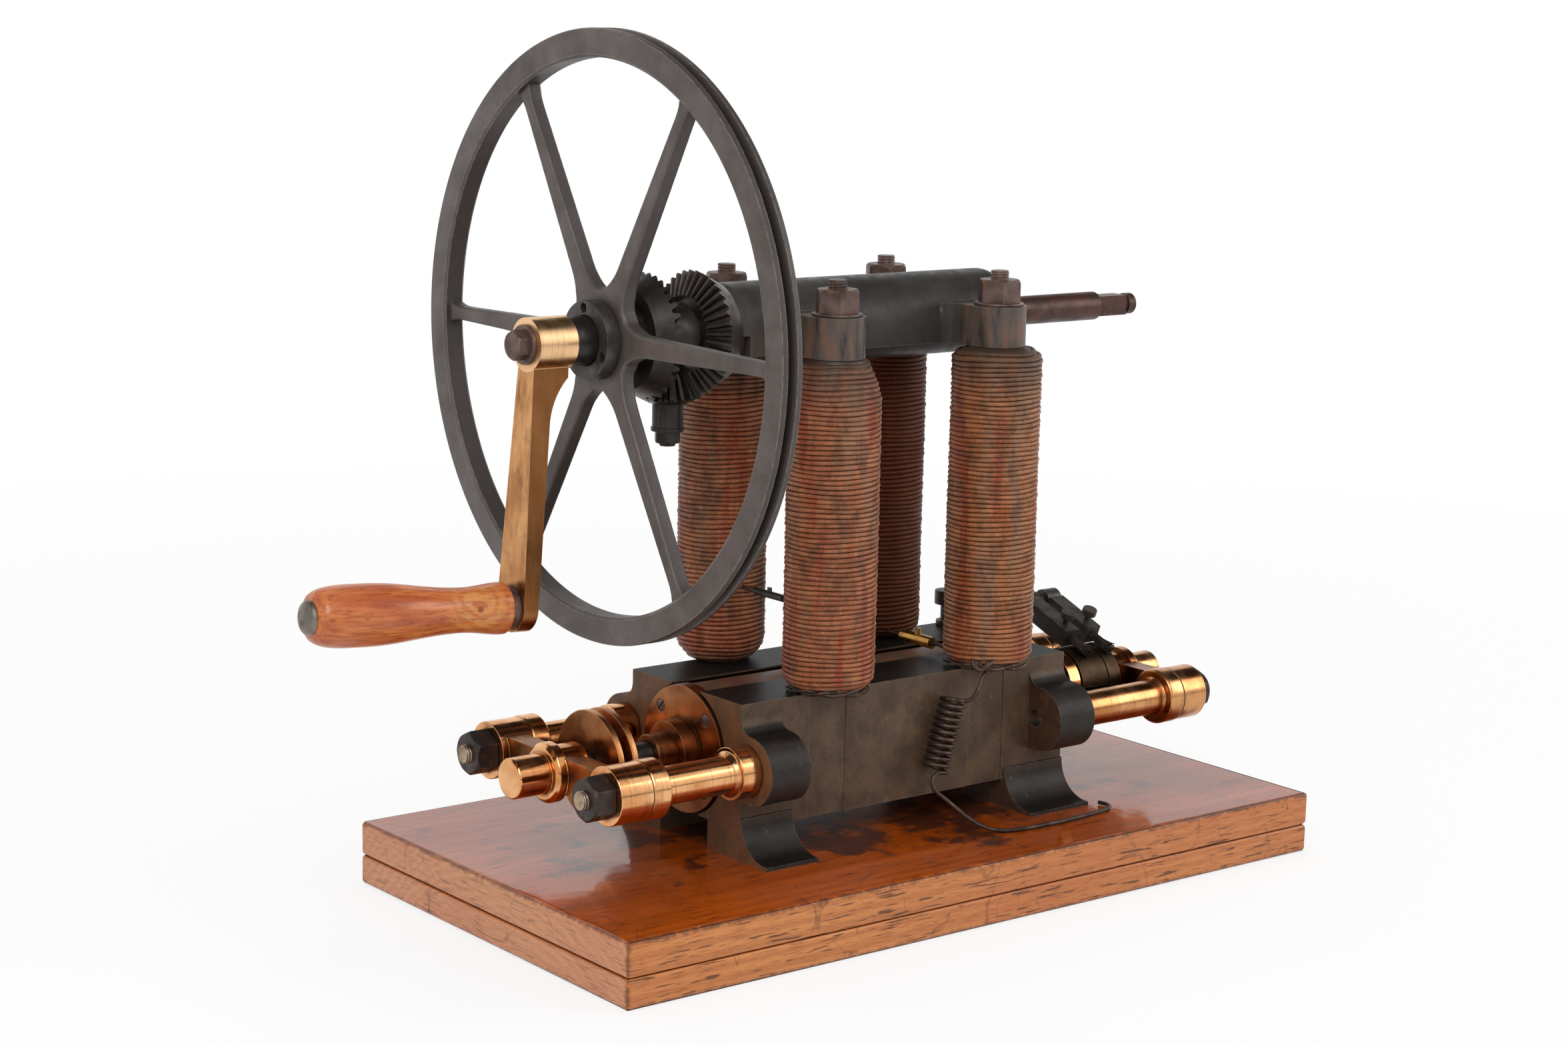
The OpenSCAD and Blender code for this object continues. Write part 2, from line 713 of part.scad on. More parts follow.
// Side of the arm: a hollow curve leads from the web under the boss into the back of the arm
module arm_side_outline() {
    reach = crank_throw + arm_end_r;
    web_end = -crank_boss_r - arm_web_h;
    web = arm_web_l - arm_top_t;
    rise = arm_web_h - arm_web_edge;
    hollow_r = (web * web + rise * rise) / (2 * web);
    difference() {
        polygon([
            [0, 0], [0, -reach], [arm_end_t, -reach], [arm_top_t, web_end], [arm_web_l, web_end], [arm_web_l, 0]
        ]);
        translate([arm_top_t + hollow_r, web_end]) difference() {
            circle(r = hollow_r);
            translate([-hollow_r, -hollow_r]) square([2 * hollow_r, hollow_r]);
        }
    }
}

module arm_face_outline() {
    polygon([
        [-arm_top_w / 2, 0], [arm_top_w / 2, 0], [arm_end_r, -crank_throw], [-arm_end_r, -crank_throw]
    ]);
    translate([0, -crank_throw]) circle(r = arm_end_r);
}

module crank_arm() {
    color("goldenrod") difference() {
        union() {
            translate([0, 0, shaft_z]) bar_x(crank_boss_r, crank_front, collar_front);
            arm_frame() intersection() {
                rotate([90, 0, 0]) translate([0, 0, -2 * arm_end_r]) linear_extrude(4 * arm_end_r) arm_side_outline();
                rotate([90, 0, 90]) translate([0, 0, -past]) linear_extrude(crank_boss_l + 2 * past) arm_face_outline();
            }
        }
        translate([0, 0, shaft_z]) square_x(square_w + 2 * run_gap, crank_front - past, collar_front + past);
        arm_frame() translate([0, 0, -crank_throw]) bar_x(spindle_r + run_gap, -past, arm_top_t + past);
    }
}

crank_washer_t = 2.3;
crank_bolt_w = 13;
crank_bolt_h = 6;

module crank_washer() {
    color("dimgray") translate([0, 0, shaft_z]) difference() {
        bar_x(crank_washer_r, crank_front - crank_washer_t, crank_front);
        bar_x(bolt_thread_r + run_gap, crank_front - crank_washer_t - past, crank_front + past);
    }
}

module crank_bolt() {
    color("dimgray") translate([crank_front - crank_washer_t, 0, shaft_z]) {
        bar_x(bolt_thread_r, 0, bolt_thread_l);
        rotate([0, -90, 0]) hex_nut(crank_bolt_w, crank_bolt_h, 0);
    }
}

// Handle: a fixed spindle with a riveted end, a ferrule on the arm and a loose wooden grip
ferrule_t = 5;
ferrule_r = 10.5;
grip_start = ferrule_t + free_gap;
grip_end = grip_start + grip_l;
rivet_r = 8.5;
rivet_h = 3;
rivet_round = 2;
grip_neck_r = 0.73 * grip_r;
grip_flare_r = 0.85 * grip_r;
spindle_back = arm_end_t - 1;

module handle_frame() {
    arm_frame() translate([0, 0, -crank_throw]) rotate([0, -90, 0]) children();
}

module handle_spindle() {
    color("gray") handle_frame() {
        translate([0, 0, -spindle_back]) cylinder(h = spindle_back + grip_end + free_gap, r = spindle_r);
        translate([0, 0, grip_end + free_gap]) rotate_extrude() polygon([
            [0, 0], [rivet_r, 0], [rivet_r - rivet_round / 2, rivet_h - rivet_round / 2],
            [rivet_r - 2 * rivet_round, rivet_h], [0, rivet_h]
        ]);
    }
}

module handle_ferrule() {
    color("dimgray") handle_frame() difference() {
        cylinder(h = ferrule_t, r = ferrule_r);
        translate([0, 0, -past]) cylinder(h = ferrule_t + 2 * past, r = spindle_r + run_gap);
    }
}

// Radius of the grip at a share of its length: a flared foot, a neck, a full belly and a round end
grip_belly_at = 0.72;
grip_neck_at = 0.22;
function ease(a, b, s) = a + (b - a) * (1 - cos(180 * s)) / 2;
function grip_radius(s) =
    s < grip_neck_at ? ease(grip_flare_r, grip_neck_r, s / grip_neck_at) :
    s < grip_belly_at ? ease(grip_neck_r, grip_r, (s - grip_neck_at) / (grip_belly_at - grip_neck_at)) :
    rivet_r + (grip_r - rivet_r) * sqrt(1 - pow((s - grip_belly_at) / (1 - grip_belly_at), 4));
grip_steps = 28;

module handle_grip() {
    color("chocolate") handle_frame() difference() {
        rotate_extrude() polygon(concat(
            [[0, grip_start]],
            [for (i = [0 : grip_steps]) [grip_radius(i / grip_steps), grip_start + grip_l * i / grip_steps]],
            [[0, grip_end]]
        ));
        translate([0, 0, grip_start - past]) cylinder(h = grip_l + 2 * past, r = spindle_r + run_gap);
    }
}

// Armature: a shaft, an H-shaped core wound along its slots, and two discs
armature_r = tunnel_r - air_gap;
disc_t = 8;
disc_proud = 2;
core_end = pole_end + disc_proud - disc_t;
slot_half = 18;
web_half = 11;
web_back = 12;
winding_drop = 0.8;
front_seat = wheel_x - pulley_w / 2 - bridge_gap;
front_pillar_l = -front_seat - pole_end;
rear_seat = pole_end + rear_pillar_l;
arbor_front = front_seat - front_eye_l - cap_l + 8;
arbor_rear = rear_seat + rear_eye_l + cap_l - 8;

module armature_shaft() {
    color("dimgray") translate([0, 0, axis_z]) bar_x(arbor_r, arbor_front, arbor_rear);
}

module armature_core() {
    color("slategray") translate([0, 0, axis_z]) difference() {
        bar_x(armature_r, -core_end, core_end);
        for (z = [-1, 1]) translate([-core_end - past, -slot_half, z > 0 ? web_half : -web_half - tunnel_r])
            cube([2 * core_end + 2 * past, 2 * slot_half, tunnel_r]);
        for (x = [-core_end - past, core_end - web_back])
            translate([x, -slot_half, -web_half - past]) cube([web_back + past, 2 * slot_half, 2 * web_half + 2 * past]);
        bar_x(arbor_r + run_gap, -core_end - past, core_end + past);
    }
}

module armature_winding() {
    color("saddlebrown") translate([0, 0, axis_z]) difference() {
        intersection() {
            bar_x(armature_r - winding_drop, -core_end, core_end);
            translate([-core_end, -slot_half + run_gap, -tunnel_r])
                cube([2 * core_end, 2 * slot_half - 2 * run_gap, 2 * tunnel_r]);
        }
        translate([-core_end + web_back - run_gap, -slot_half, -web_half - run_gap])
            cube([2 * (core_end - web_back + run_gap), 2 * slot_half, 2 * web_half + 2 * run_gap]);
        bar_x(arbor_r + run_gap, -core_end - past, core_end + past);
    }
}

disc_hub_r = 16;
disc_hub_l = 10;
disc_boss_r = 10.5;
disc_boss_l = 12;
disc_screw_r = 3.2;
disc_screw_at = 27;
disc_screw_h = 1.5;
disc_screws = 4;

// Points of an end disc, from its inner face outwards
module end_disc() {
    difference() {
        turned_x([
            [arbor_r + run_gap, core_end], [armature_r, core_end], [armature_r, core_end + disc_t],
            [disc_hub_r, core_end + disc_t], [disc_hub_r, core_end + disc_t + disc_hub_l],
            [disc_boss_r, core_end + disc_t + disc_hub_l],
            [disc_boss_r, core_end + disc_t + disc_hub_l + disc_boss_l],
            [arbor_r + run_gap, core_end + disc_t + disc_hub_l + disc_boss_l]
        ]);
        at_disc_screws() bar_x(disc_screw_r + run_gap, core_end + disc_t - disc_screw_h, core_end + disc_t + past);
    }
}

module at_disc_screws() {
    for (i = [0 : disc_screws - 1]) rotate([360 * (i + 0.5) / disc_screws, 0, 0])
        translate([0, 0, disc_screw_at]) children();
}

module end_disc_front() {
    color("darkgoldenrod") translate([0, 0, axis_z]) mirror([1, 0, 0]) end_disc();
}

module end_disc_rear() {
    color("darkgoldenrod") translate([0, 0, axis_z]) end_disc();
}

module end_disc_screws() {
    color("gray") translate([0, 0, axis_z]) for (side = [0, 1]) mirror([side, 0, 0]) at_disc_screws()
        bar_x(disc_screw_r, core_end + disc_t - disc_screw_h, core_end + disc_t);
}

pulley_groove_h = 8;
pulley_hub_r = 11;

module pulley() {
    x0 = wheel_x - pulley_w / 2;
    x1 = wheel_x + pulley_w / 2;
    color("darkgoldenrod") translate([0, 0, axis_z]) turned_x([
        [arbor_r + run_gap, x0], [pulley_r, x0], [pulley_r, wheel_x - groove_w / 2],
        [pulley_r - pulley_groove_h, wheel_x - groove_w / 4], [pulley_r - pulley_groove_h, wheel_x + groove_w / 4],
        [pulley_r, wheel_x + groove_w / 2], [pulley_r, x1], [arbor_r + run_gap, x1]
    ]);
}

// Commutator: a bronze flange, an insulating bush, a split drum and a plain ring
comm_set_back = 42;
flange_x = rear_seat - comm_set_back;
flange_t = 8;
bush_r = 14;
segment_l = 20;
comm_ring_l = 9;
comm_gap = 0.6;
split_w = 1.5;
segment_x = flange_x + flange_t + comm_gap;
comm_ring_x = segment_x + segment_l + comm_gap;
bush_end = comm_ring_x + comm_ring_l;

module tube_x(r_in, r_out, x0, x1) {
    difference() {
        bar_x(r_out, x0, x1);
        bar_x(r_in, x0 - past, x1 + past);
    }
}

module commutator_flange() {
    color("darkgoldenrod") translate([0, 0, axis_z])
        tube_x(arbor_r + run_gap, commutator_r - 0.6, flange_x, flange_x + flange_t);
}

module commutator_bush() {
    color("black") translate([0, 0, axis_z]) tube_x(arbor_r + run_gap, bush_r, flange_x + flange_t, bush_end);
}

module commutator_segments() {
    color("rosybrown") translate([0, 0, axis_z]) difference() {
        tube_x(bush_r + run_gap, commutator_r, segment_x, segment_x + segment_l);
        translate([segment_x - past, -commutator_r - past, -split_w / 2])
            cube([segment_l + 2 * past, 2 * commutator_r + 2 * past, split_w]);
    }
}

module commutator_ring() {
    color("rosybrown") translate([0, 0, axis_z]) tube_x(bush_r + run_gap, commutator_r, comm_ring_x, bush_end);
}

// Pillars on the lugs, with their studs and nuts
pillar_foot_r = 13.5;
pillar_foot_l = 14;
pillar_neck_r = 10.8;
pillar_head_r = eye_r + 0.4;
pillar_head_l = 11;

module pillar(length, foot_r, foot_l) {
    slope = 2;
    color("goldenrod") difference() {
        rotate_extrude() polygon([
            [0, 0], [foot_r, 0], [foot_r, foot_l - slope], [foot_r - slope, foot_l - slope], [pillar_r, foot_l],
            [pillar_r, length - pillar_head_l - slope], [pillar_neck_r, length - pillar_head_l],
            [pillar_head_r - 1, length - pillar_head_l], [pillar_head_r, length - pillar_head_l + 1],
            [pillar_head_r, length - 1], [pillar_head_r - 1, length], [0, length]
        ]);
        translate([0, 0, -past]) cylinder(h = length + 2 * past, r = stud_r + run_gap);
    }
}

module at_pillar(sx, sy) {
    translate([sx * pole_end, sy * pillar_y, axis_z]) rotate([0, sx * 90, 0]) children();
}

module front_pillar(sy) { at_pillar(-1, sy) pillar(front_pillar_l, pillar_foot_r, pillar_foot_l); }
module rear_pillar(sy) { at_pillar(1, sy) pillar(rear_pillar_l, pillar_neck_r, 4); }
module pillar_front_near() { front_pillar(-1); }
module pillar_front_far() { front_pillar(1); }
module pillar_rear_near() { rear_pillar(-1); }
module pillar_rear_far() { rear_pillar(1); }

stud_inset = 5;
rear_nut_h = 8;
function seat_of(sx) = sx < 0 ? front_pillar_l : rear_pillar_l;
function eye_of(sx) = sx < 0 ? front_eye_l : rear_eye_l;
function nut_of(sx) = sx < 0 ? nut_h : rear_nut_h;

module pillar_studs() {
    color("gray") for (s = pillar_signs) at_pillar(s[0], s[1]) translate([0, 0, stud_inset - lug_l])
        cylinder(h = lug_l - stud_inset + seat_of(s[0]) + eye_of(s[0]) + nut_of(s[0]) + 3, r = stud_r);
}

module pillar_nuts() {
    color("dimgray") for (s = pillar_signs) at_pillar(s[0], s[1]) translate([0, 0, seat_of(s[0]) + eye_of(s[0])])
        hex_nut(nut_w, nut_of(s[0]), stud_r + run_gap);
}

// Bearing bridges: two eyes on the pillars, a web and a closed bearing, drawn from the pillar's shoulder outwards
bridge_web_h = 9;
bridge_web_t = 12;
bearing_r = 13;
bearing_flange_r = 15.2;
bearing_flange_l = 7;
bearing_end_wall = 6;

module bridge(seat, eye_l) {
    flange_at = seat + eye_l - bearing_flange_l + 2;
    cap_end = flange_at + bearing_flange_l + cap_l;
    color("goldenrod") difference() {
        union() {
            for (y = [-1, 1]) translate([0, y * pillar_y, 0]) bar_x(eye_r, seat, seat + eye_l);
            translate([seat + 3, -pillar_y, -bridge_web_h]) cube([bridge_web_t, 2 * pillar_y, 2 * bridge_web_h]);
            turned_x([
                [0, seat], [bearing_r, seat], [bearing_r, flange_at], [bearing_flange_r, flange_at],
                [bearing_flange_r, flange_at + bearing_flange_l - 2], [bearing_flange_r - 2, flange_at + bearing_flange_l],
                [cap_r, flange_at + bearing_flange_l], [cap_r, cap_end - 1], [cap_r - 1, cap_end], [0, cap_end]
            ]);
        }
        for (y = [-1, 1]) translate([0, y * pillar_y, 0])
            bar_x(stud_r + run_gap, seat - past, seat + eye_l + past);
        bar_x(arbor_r + run_gap, seat - past, cap_end - bearing_end_wall);
    }
}

module front_bridge() {
    translate([0, 0, axis_z]) mirror([1, 0, 0]) bridge(-front_seat, front_eye_l);
}

module rear_bridge() {
    translate([0, 0, axis_z]) bridge(rear_seat, rear_eye_l);
}

// Brush gear: a bracket on the far rear pillar, a spindle, two holders with their brushes and screws
brush_clear = 0.25;
touch_r = commutator_r + brush_r + brush_clear;
brush_tip = 7;
holder_l = 34;
holder_w = 10;
screw_at = 7;
holder_h = 2 * brush_r + 5;
holder_at = 10;
brush_xs = [segment_x + segment_l / 2 - 1, comm_ring_x + comm_ring_l / 2 + 0.5];
spindle_rod_r = 3.5;
rod_at = holder_at + holder_l + spindle_rod_r + 2;
rod_y = -touch_r * sin(brush_tilt) + rod_at * cos(brush_tilt);
rod_z = touch_r * cos(brush_tilt) + rod_at * sin(brush_tilt);
rod_set_out = 12;
rod_past = 4;
rod_collar_l = 3;
rod_collar_h = 2;
bracket_set_out = 16;
rod_x0 = pole_end + rod_set_out;
rod_x1 = bush_end + rod_past;
bracket_x0 = pole_end + bracket_set_out;
bracket_t = 12;
bracket_r = 8;
clamp_r = pillar_r + 5;

// Frame of the brushes: origin where they touch the drum, X away from the tip, Z away from the drum
module brush_frame(x) {
    translate([x, -touch_r * sin(brush_tilt), axis_z + touch_r * cos(brush_tilt)])
        rotate([brush_tilt, 0, 0]) rotate([0, 0, 90]) children();
}

module brush_bracket() {
    reach = norm([pillar_y - rod_y, rod_z]);
    turn = atan2(rod_z, rod_y - pillar_y);
    color("darkslategray") translate([bracket_x0, 0, axis_z]) rotate([90, 0, 90]) difference() {
        linear_extrude(bracket_t) difference() {
            union() {
                translate([pillar_y, 0]) circle(r = clamp_r);
                translate([rod_y, rod_z]) circle(r = bracket_r);
                translate([pillar_y, 0]) rotate(turn) translate([0, -bracket_r + 2]) square([reach, 2 * bracket_r - 4]);
            }
            translate([pillar_y, 0]) circle(r = pillar_r + run_gap);
            translate([rod_y, rod_z]) circle(r = spindle_rod_r + run_gap);
        }
    }
}

module brush_spindle() {
    color("dimgray") translate([0, rod_y, axis_z + rod_z]) {
        bar_x(spindle_rod_r, rod_x0, rod_x1);
        bar_x(spindle_rod_r + rod_collar_h, rod_x0 - rod_collar_l, rod_x0);
    }
}

module brush_holders() {
    color("darkslategray") for (x = brush_xs) difference() {
        union() {
            brush_frame(x) translate([holder_at, -holder_w / 2, -holder_h / 2]) cube([holder_l, holder_w, holder_h]);
            translate([0, rod_y, axis_z + rod_z]) bar_x(spindle_rod_r + 2.5, x - holder_w / 2, x + holder_w / 2);
        }
        brush_frame(x) bar_x(brush_r + run_gap, -past, brush_l - brush_tip);
        brush_frame(x) translate([holder_at + screw_at, 0, 0]) cylinder(h = holder_h, r = thumb_r + run_gap);
        translate([0, rod_y, axis_z + rod_z]) bar_x(spindle_rod_r + run_gap, x - holder_w, x + holder_w);
    }
}

module wire_brushes() {
    color("dimgray") for (x = brush_xs) brush_frame(x) bar_x(brush_r, -brush_tip, brush_l - brush_tip - free_gap);
}

thumb_r = 1.6;
thumb_head_r = 4.2;
thumb_head_h = 4;
thumb_out = 4;

module thumb_screws() {
    color("darkslategray") for (x = brush_xs) brush_frame(x) translate([holder_at + screw_at, 0, 0]) {
        translate([0, 0, brush_r + run_gap]) cylinder(h = holder_h / 2 + thumb_out - brush_r, r = thumb_r);
        translate([0, 0, holder_h / 2 + thumb_out]) cylinder(h = thumb_head_h, r = thumb_head_r);
    }
}

// Terminal post with a knob on the far pole piece
post_x = pole_end - 9;
post_y = block_w - 6;
post_r = 3;
knob_r = 6.5;
knob_h = 8;
post_h = 12;

module terminal_post() {
    color("dimgray") translate([post_x, post_y, pole_top]) {
        cylinder(h = post_h, r = post_r);
        translate([0, 0, post_h]) cylinder(h = knob_h, r = knob_r);
        cylinder(h = 3, r = post_r + 2.5);
    }
}

// Leads: two sleeves that join near and far coils, and the bare lead with its pigtail that lies on the base
sleeve_r = 3.2;
sleeve_l = 24;
left_link_out = 3;
left_link_h = 42;
right_link_in = 9;
right_link_h = 6;
sleeve_xs = [-coil_x - left_link_out, coil_x - right_link_in];
sleeve_zs = [pole_top + left_link_h, pole_top + right_link_h];
sleeve_screw_r = 1.6;
sleeve_screw_h = 3;

module lead_sleeves() {
    color("gold") for (i = [0, 1]) translate([sleeve_xs[i], 0, sleeve_zs[i]]) difference() {
        union() {
            rotate([90, 0, 0]) translate([0, 0, -sleeve_l / 2]) cylinder(h = sleeve_l, r = sleeve_r);
            cylinder(h = sleeve_r + sleeve_screw_h, r = sleeve_screw_r);
        }
        rotate([90, 0, 0]) translate([0, 0, -sleeve_l / 2 - past]) cylinder(h = sleeve_l + 2 * past, r = wire_r + run_gap);
    }
}

// Route of the lead: from the foot of the near right coil to the pigtail, then down to the base and round the foot
pigtail_r = 6.2;
pigtail_top = [24, -54.5, 101];
pigtail_low = [12, -54.5, 64];
curl_rings = 8;
wire_sides = 6;
lead_start = [
    [44.1, -61.4, 115.4], [41.5, -61.9, 115.3], [39, -62, 114.2], [37, -62, 112], [35.8, -62, 109],
    [34.6, -61.9, 106], [33, -61.7, 103.2], [30.6, -61.3, 101.2], [27.6, -60.9, 100.5]
];
lead_end = [
    [8.6, -60.9, 64.4], [5.9, -61, 62.6], [4.9, -61.2, 59.6], [5.8, -61.6, 56.4], [8.2, -62.4, 53.8],
    [12, -64, 50.6], [16, -66.6, 46.6], [20.4, -70.6, 41.8], [24.8, -75.4, 37.9], [29, -80.2, 35.7],
    [34, -84.6, 34.9], [42, -87.4, 34.9], [54, -88.8, 34.9], [72, -89, 34.9], [90, -88, 34.9], [103, -86.6, 34.9],
    [110, -85, 34.9], [114.4, -82, 34.9], [116, -77.6, 34.9], [115, -73, 34.9]
];
pigtail_axis = (pigtail_low - pigtail_top) / norm(pigtail_low - pigtail_top);
pigtail_side = cross(pigtail_axis, [0, 1, 0]);
pigtail_route = [for (j = [0 : curls * curl_rings])
    let (a = -360 * j / curl_rings - 90, s = j / (curls * curl_rings))
    pigtail_top + s * (pigtail_low - pigtail_top) + pigtail_r * (cos(a) * pigtail_side + sin(a) * [0, 1, 0])];
lead_route = concat(lead_start, pigtail_route, lead_end);

function unit(v) = v / norm(v);
function heading(route, i) = unit(route[min(i + 1, len(route) - 1)] - route[max(i - 1, 0)]);
// A side direction that never lies along the wire: the pigtail's axis, or straight up where that is better
function wire_side(t, guide) = unit(cross(t, guide));
function wire_ring(p, t, guide, r) = let (u = wire_side(t, guide), w = cross(u, t))
    [for (i = [0 : wire_sides - 1]) p + r * (cos(360 * i / wire_sides) * u + sin(360 * i / wire_sides) * w)];
function wire_points(route, guide, r) =
    [for (i = [0 : len(route) - 1]) for (p = wire_ring(route[i], heading(route, i), guide, r)) p];

lead_points = wire_points(lead_route, [0.13, 0.21, 0.97], wire_r);
// Least distance between the surfaces of neighbouring curls
curl_first = len(lead_start) * wire_sides;
curl_gap = min([for (j = [0 : curl_rings - 1]) for (a = [0 : wire_sides - 1])
    for (k = [j + curl_rings - 1 : j + curl_rings + 1]) for (b = [0 : wire_sides - 1])
    norm(lead_points[curl_first + j * wire_sides + a] - lead_points[curl_first + k * wire_sides + b])]);
echo(curl_least_gap = curl_gap);

module wire(route) {
    polyhedron(wire_points(route, [0.13, 0.21, 0.97], wire_r), tube_faces(len(route), wire_sides));
}

// Radius of a coil at a height near its foot, and the distance from the centre plane at which a link's rim meets it
function coil_radius(z) = z > coil_low ? coil_r :
    coil_neck_r + (coil_end_r - coil_neck_r) * (z - coil_low + coil_slope_h) / (coil_slope_h - coil_end_gap);
function link_reach(i) =
    coil_y - sqrt(pow(coil_radius(sleeve_zs[i] + wire_r), 2)
        - pow(max(abs(abs(sleeve_xs[i]) - coil_x) - wire_r, 0), 2)) - free_gap;

module coil_leads() {
    color("saddlebrown") {
        wire(lead_route);
        for (i = [0, 1]) for (y = [-1, 1]) translate([sleeve_xs[i], y * sleeve_l / 4, sleeve_zs[i]])
            rotate([-y * 90, 0, 0]) cylinder(h = link_reach(i) - sleeve_l / 4, r = wire_r);
    }
}

base_lower_board();
base_upper_board();
foot_bolts();
pole_piece_near();
pole_piece_far();
core_near_left();
core_near_right();
core_far_left();
core_far_right();
coil_near_left();
coil_near_right();
coil_far_left();
coil_far_right();
yoke();
yoke_washers();
yoke_nuts();
crank_shaft();
crank_arm();
crank_washer();
crank_bolt();
handle_spindle();
handle_ferrule();
handle_grip();
drive_wheel();
hub_ring();
shaft_collar();
wheel_bevel_gear();
fixed_bevel_gear();
planet_gear();
planet_carrier();
planet_stud();
planet_washer();
planet_nut();
armature_shaft();
armature_core();
armature_winding();
end_disc_front();
end_disc_rear();
end_disc_screws();
pulley();
commutator_flange();
commutator_bush();
commutator_segments();
commutator_ring();
front_bridge();
rear_bridge();
pillar_front_near();
pillar_front_far();
pillar_rear_near();
pillar_rear_far();
pillar_studs();
pillar_nuts();
brush_bracket();
brush_spindle();
brush_holders();
wire_brushes();
thumb_screws();
lead_sleeves();
coil_leads();
terminal_post();
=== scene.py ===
import math

import bpy
from mathutils import Matrix, Vector


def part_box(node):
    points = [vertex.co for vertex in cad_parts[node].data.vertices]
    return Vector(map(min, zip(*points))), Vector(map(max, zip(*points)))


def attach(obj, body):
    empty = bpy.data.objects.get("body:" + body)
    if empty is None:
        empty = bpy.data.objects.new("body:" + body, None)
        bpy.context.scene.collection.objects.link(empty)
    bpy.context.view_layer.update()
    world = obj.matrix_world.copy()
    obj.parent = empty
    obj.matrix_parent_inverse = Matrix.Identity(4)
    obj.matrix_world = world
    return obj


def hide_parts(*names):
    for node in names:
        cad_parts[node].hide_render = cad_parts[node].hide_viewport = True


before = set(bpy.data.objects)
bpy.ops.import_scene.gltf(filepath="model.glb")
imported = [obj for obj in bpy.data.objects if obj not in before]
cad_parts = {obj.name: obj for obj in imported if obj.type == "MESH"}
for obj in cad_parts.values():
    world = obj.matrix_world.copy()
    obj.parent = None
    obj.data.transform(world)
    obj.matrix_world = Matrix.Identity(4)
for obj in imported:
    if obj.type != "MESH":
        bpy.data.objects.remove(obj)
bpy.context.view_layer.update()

# Base: two oak boards laid flat on each other and screwed together from below, their corners rounded by hand.
# The top is french polished to a deep orange; the edges are paler and show the grain, and dirt sits in the seam.
mm = 0.001
board_round = 0.15 * mm
top_round = 1.4 * mm
corner_round = 2.4 * mm
foot_round = 1.8 * mm
growth_layer = 5 * mm
tree_heart = (0, 30 * mm, 110 * mm)
grime_x, grime_y = 210 * mm, 105 * mm
seam_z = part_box("base_lower_board")[1].z
base_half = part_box("base_upper_board")[1]
base_top = base_half.z


def linear(code):
    """An sRGB hex colour as linear red, green, blue and alpha."""
    parts = [int(code[i:i + 2], 16) / 255 for i in (1, 3, 5)]
    return [p / 12.92 if p <= 0.04045 else ((p + 0.055) / 1.055) ** 2.4 for p in parts] + [1.0]


def feed(tree, node, inputs):
    """Links each socket to the node's input of that name, and sets any other value there."""
    for key, value in inputs.items():
        if isinstance(value, bpy.types.NodeSocket):
            tree.links.new(value, node.inputs[key])
        else:
            node.inputs[key].default_value = linear(value) if isinstance(value, str) else value


def add(tree, kind, inputs, out=0, **settings):
    """Adds a shader node with its settings and links, and returns one of its outputs."""
    made = tree.nodes.new("ShaderNode" + kind)
    for name, value in settings.items():
        setattr(made, name, value)
    feed(tree, made, inputs)
    return made.outputs[out]


def new_finish(name):
    """A new material with its node tree, its Principled shader and the socket of Object coordinates."""
    finish = bpy.data.materials.new(name)
    finish.use_nodes = True
    tree = finish.node_tree
    return finish, tree, tree.nodes["Principled BSDF"], add(tree, "TexCoord", {}, "Object")


def pick(*objects):
    """Selects these objects alone and makes the first one active."""
    bpy.ops.object.select_all(action="DESELECT")
    for one in objects:
        one.select_set(True)
    bpy.context.view_layer.objects.active = objects[0]


def choose_edges(piece, wanted):
    """Goes into edit mode with only the wanted edges of the piece selected."""
    pick(piece)
    bpy.ops.object.mode_set(mode="EDIT")
    bpy.ops.mesh.select_mode(type="EDGE")
    bpy.ops.mesh.select_all(action="DESELECT")
    bpy.ops.object.mode_set(mode="OBJECT")
    piece.data.edges.foreach_set("select", wanted)
    bpy.ops.object.mode_set(mode="EDIT")


def copied(node):
    """A copy of a CAD node, its loose triangles merged into whole faces."""
    piece = bpy.data.objects.new(node + "_finished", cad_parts[node].data.copy())
    bpy.context.scene.collection.objects.link(piece)
    pick(piece)
    bpy.ops.mesh.customdata_custom_splitnormals_clear()
    bpy.ops.object.mode_set(mode="EDIT")
    bpy.ops.mesh.select_all(action="SELECT")
    bpy.ops.mesh.remove_doubles(threshold=0.002 * mm)
    bpy.ops.mesh.dissolve_limited(angle_limit=math.radians(0.5))
    bpy.ops.object.mode_set(mode="OBJECT")
    return piece


def rounded(piece, edge, segments=2, sharp=35):
    """Rounds the sharp edges of a piece, as casting, filing or turning leaves them."""
    pick(piece)
    rounding = piece.modifiers.new("rounding", "BEVEL")
    rounding.width = edge
    rounding.segments = segments
    rounding.limit_method = "ANGLE"
    rounding.angle_limit = math.radians(sharp)
    bpy.ops.object.modifier_apply(modifier="rounding")
    bpy.ops.object.shade_smooth_by_angle(angle=math.radians(sharp))
    even = piece.modifiers.new("even", "WEIGHTED_NORMAL")
    even.keep_sharp = True
    bpy.ops.object.modifier_apply(modifier="even")
    return piece


def dress(piece, body, finish, node=None):
    """Gives a finished piece its material and its body, and hides the CAD node that it stands for."""
    piece.data.materials.clear()
    piece.data.materials.append(finish)
    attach(piece, body)
    if node:
        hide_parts(node)
    return piece


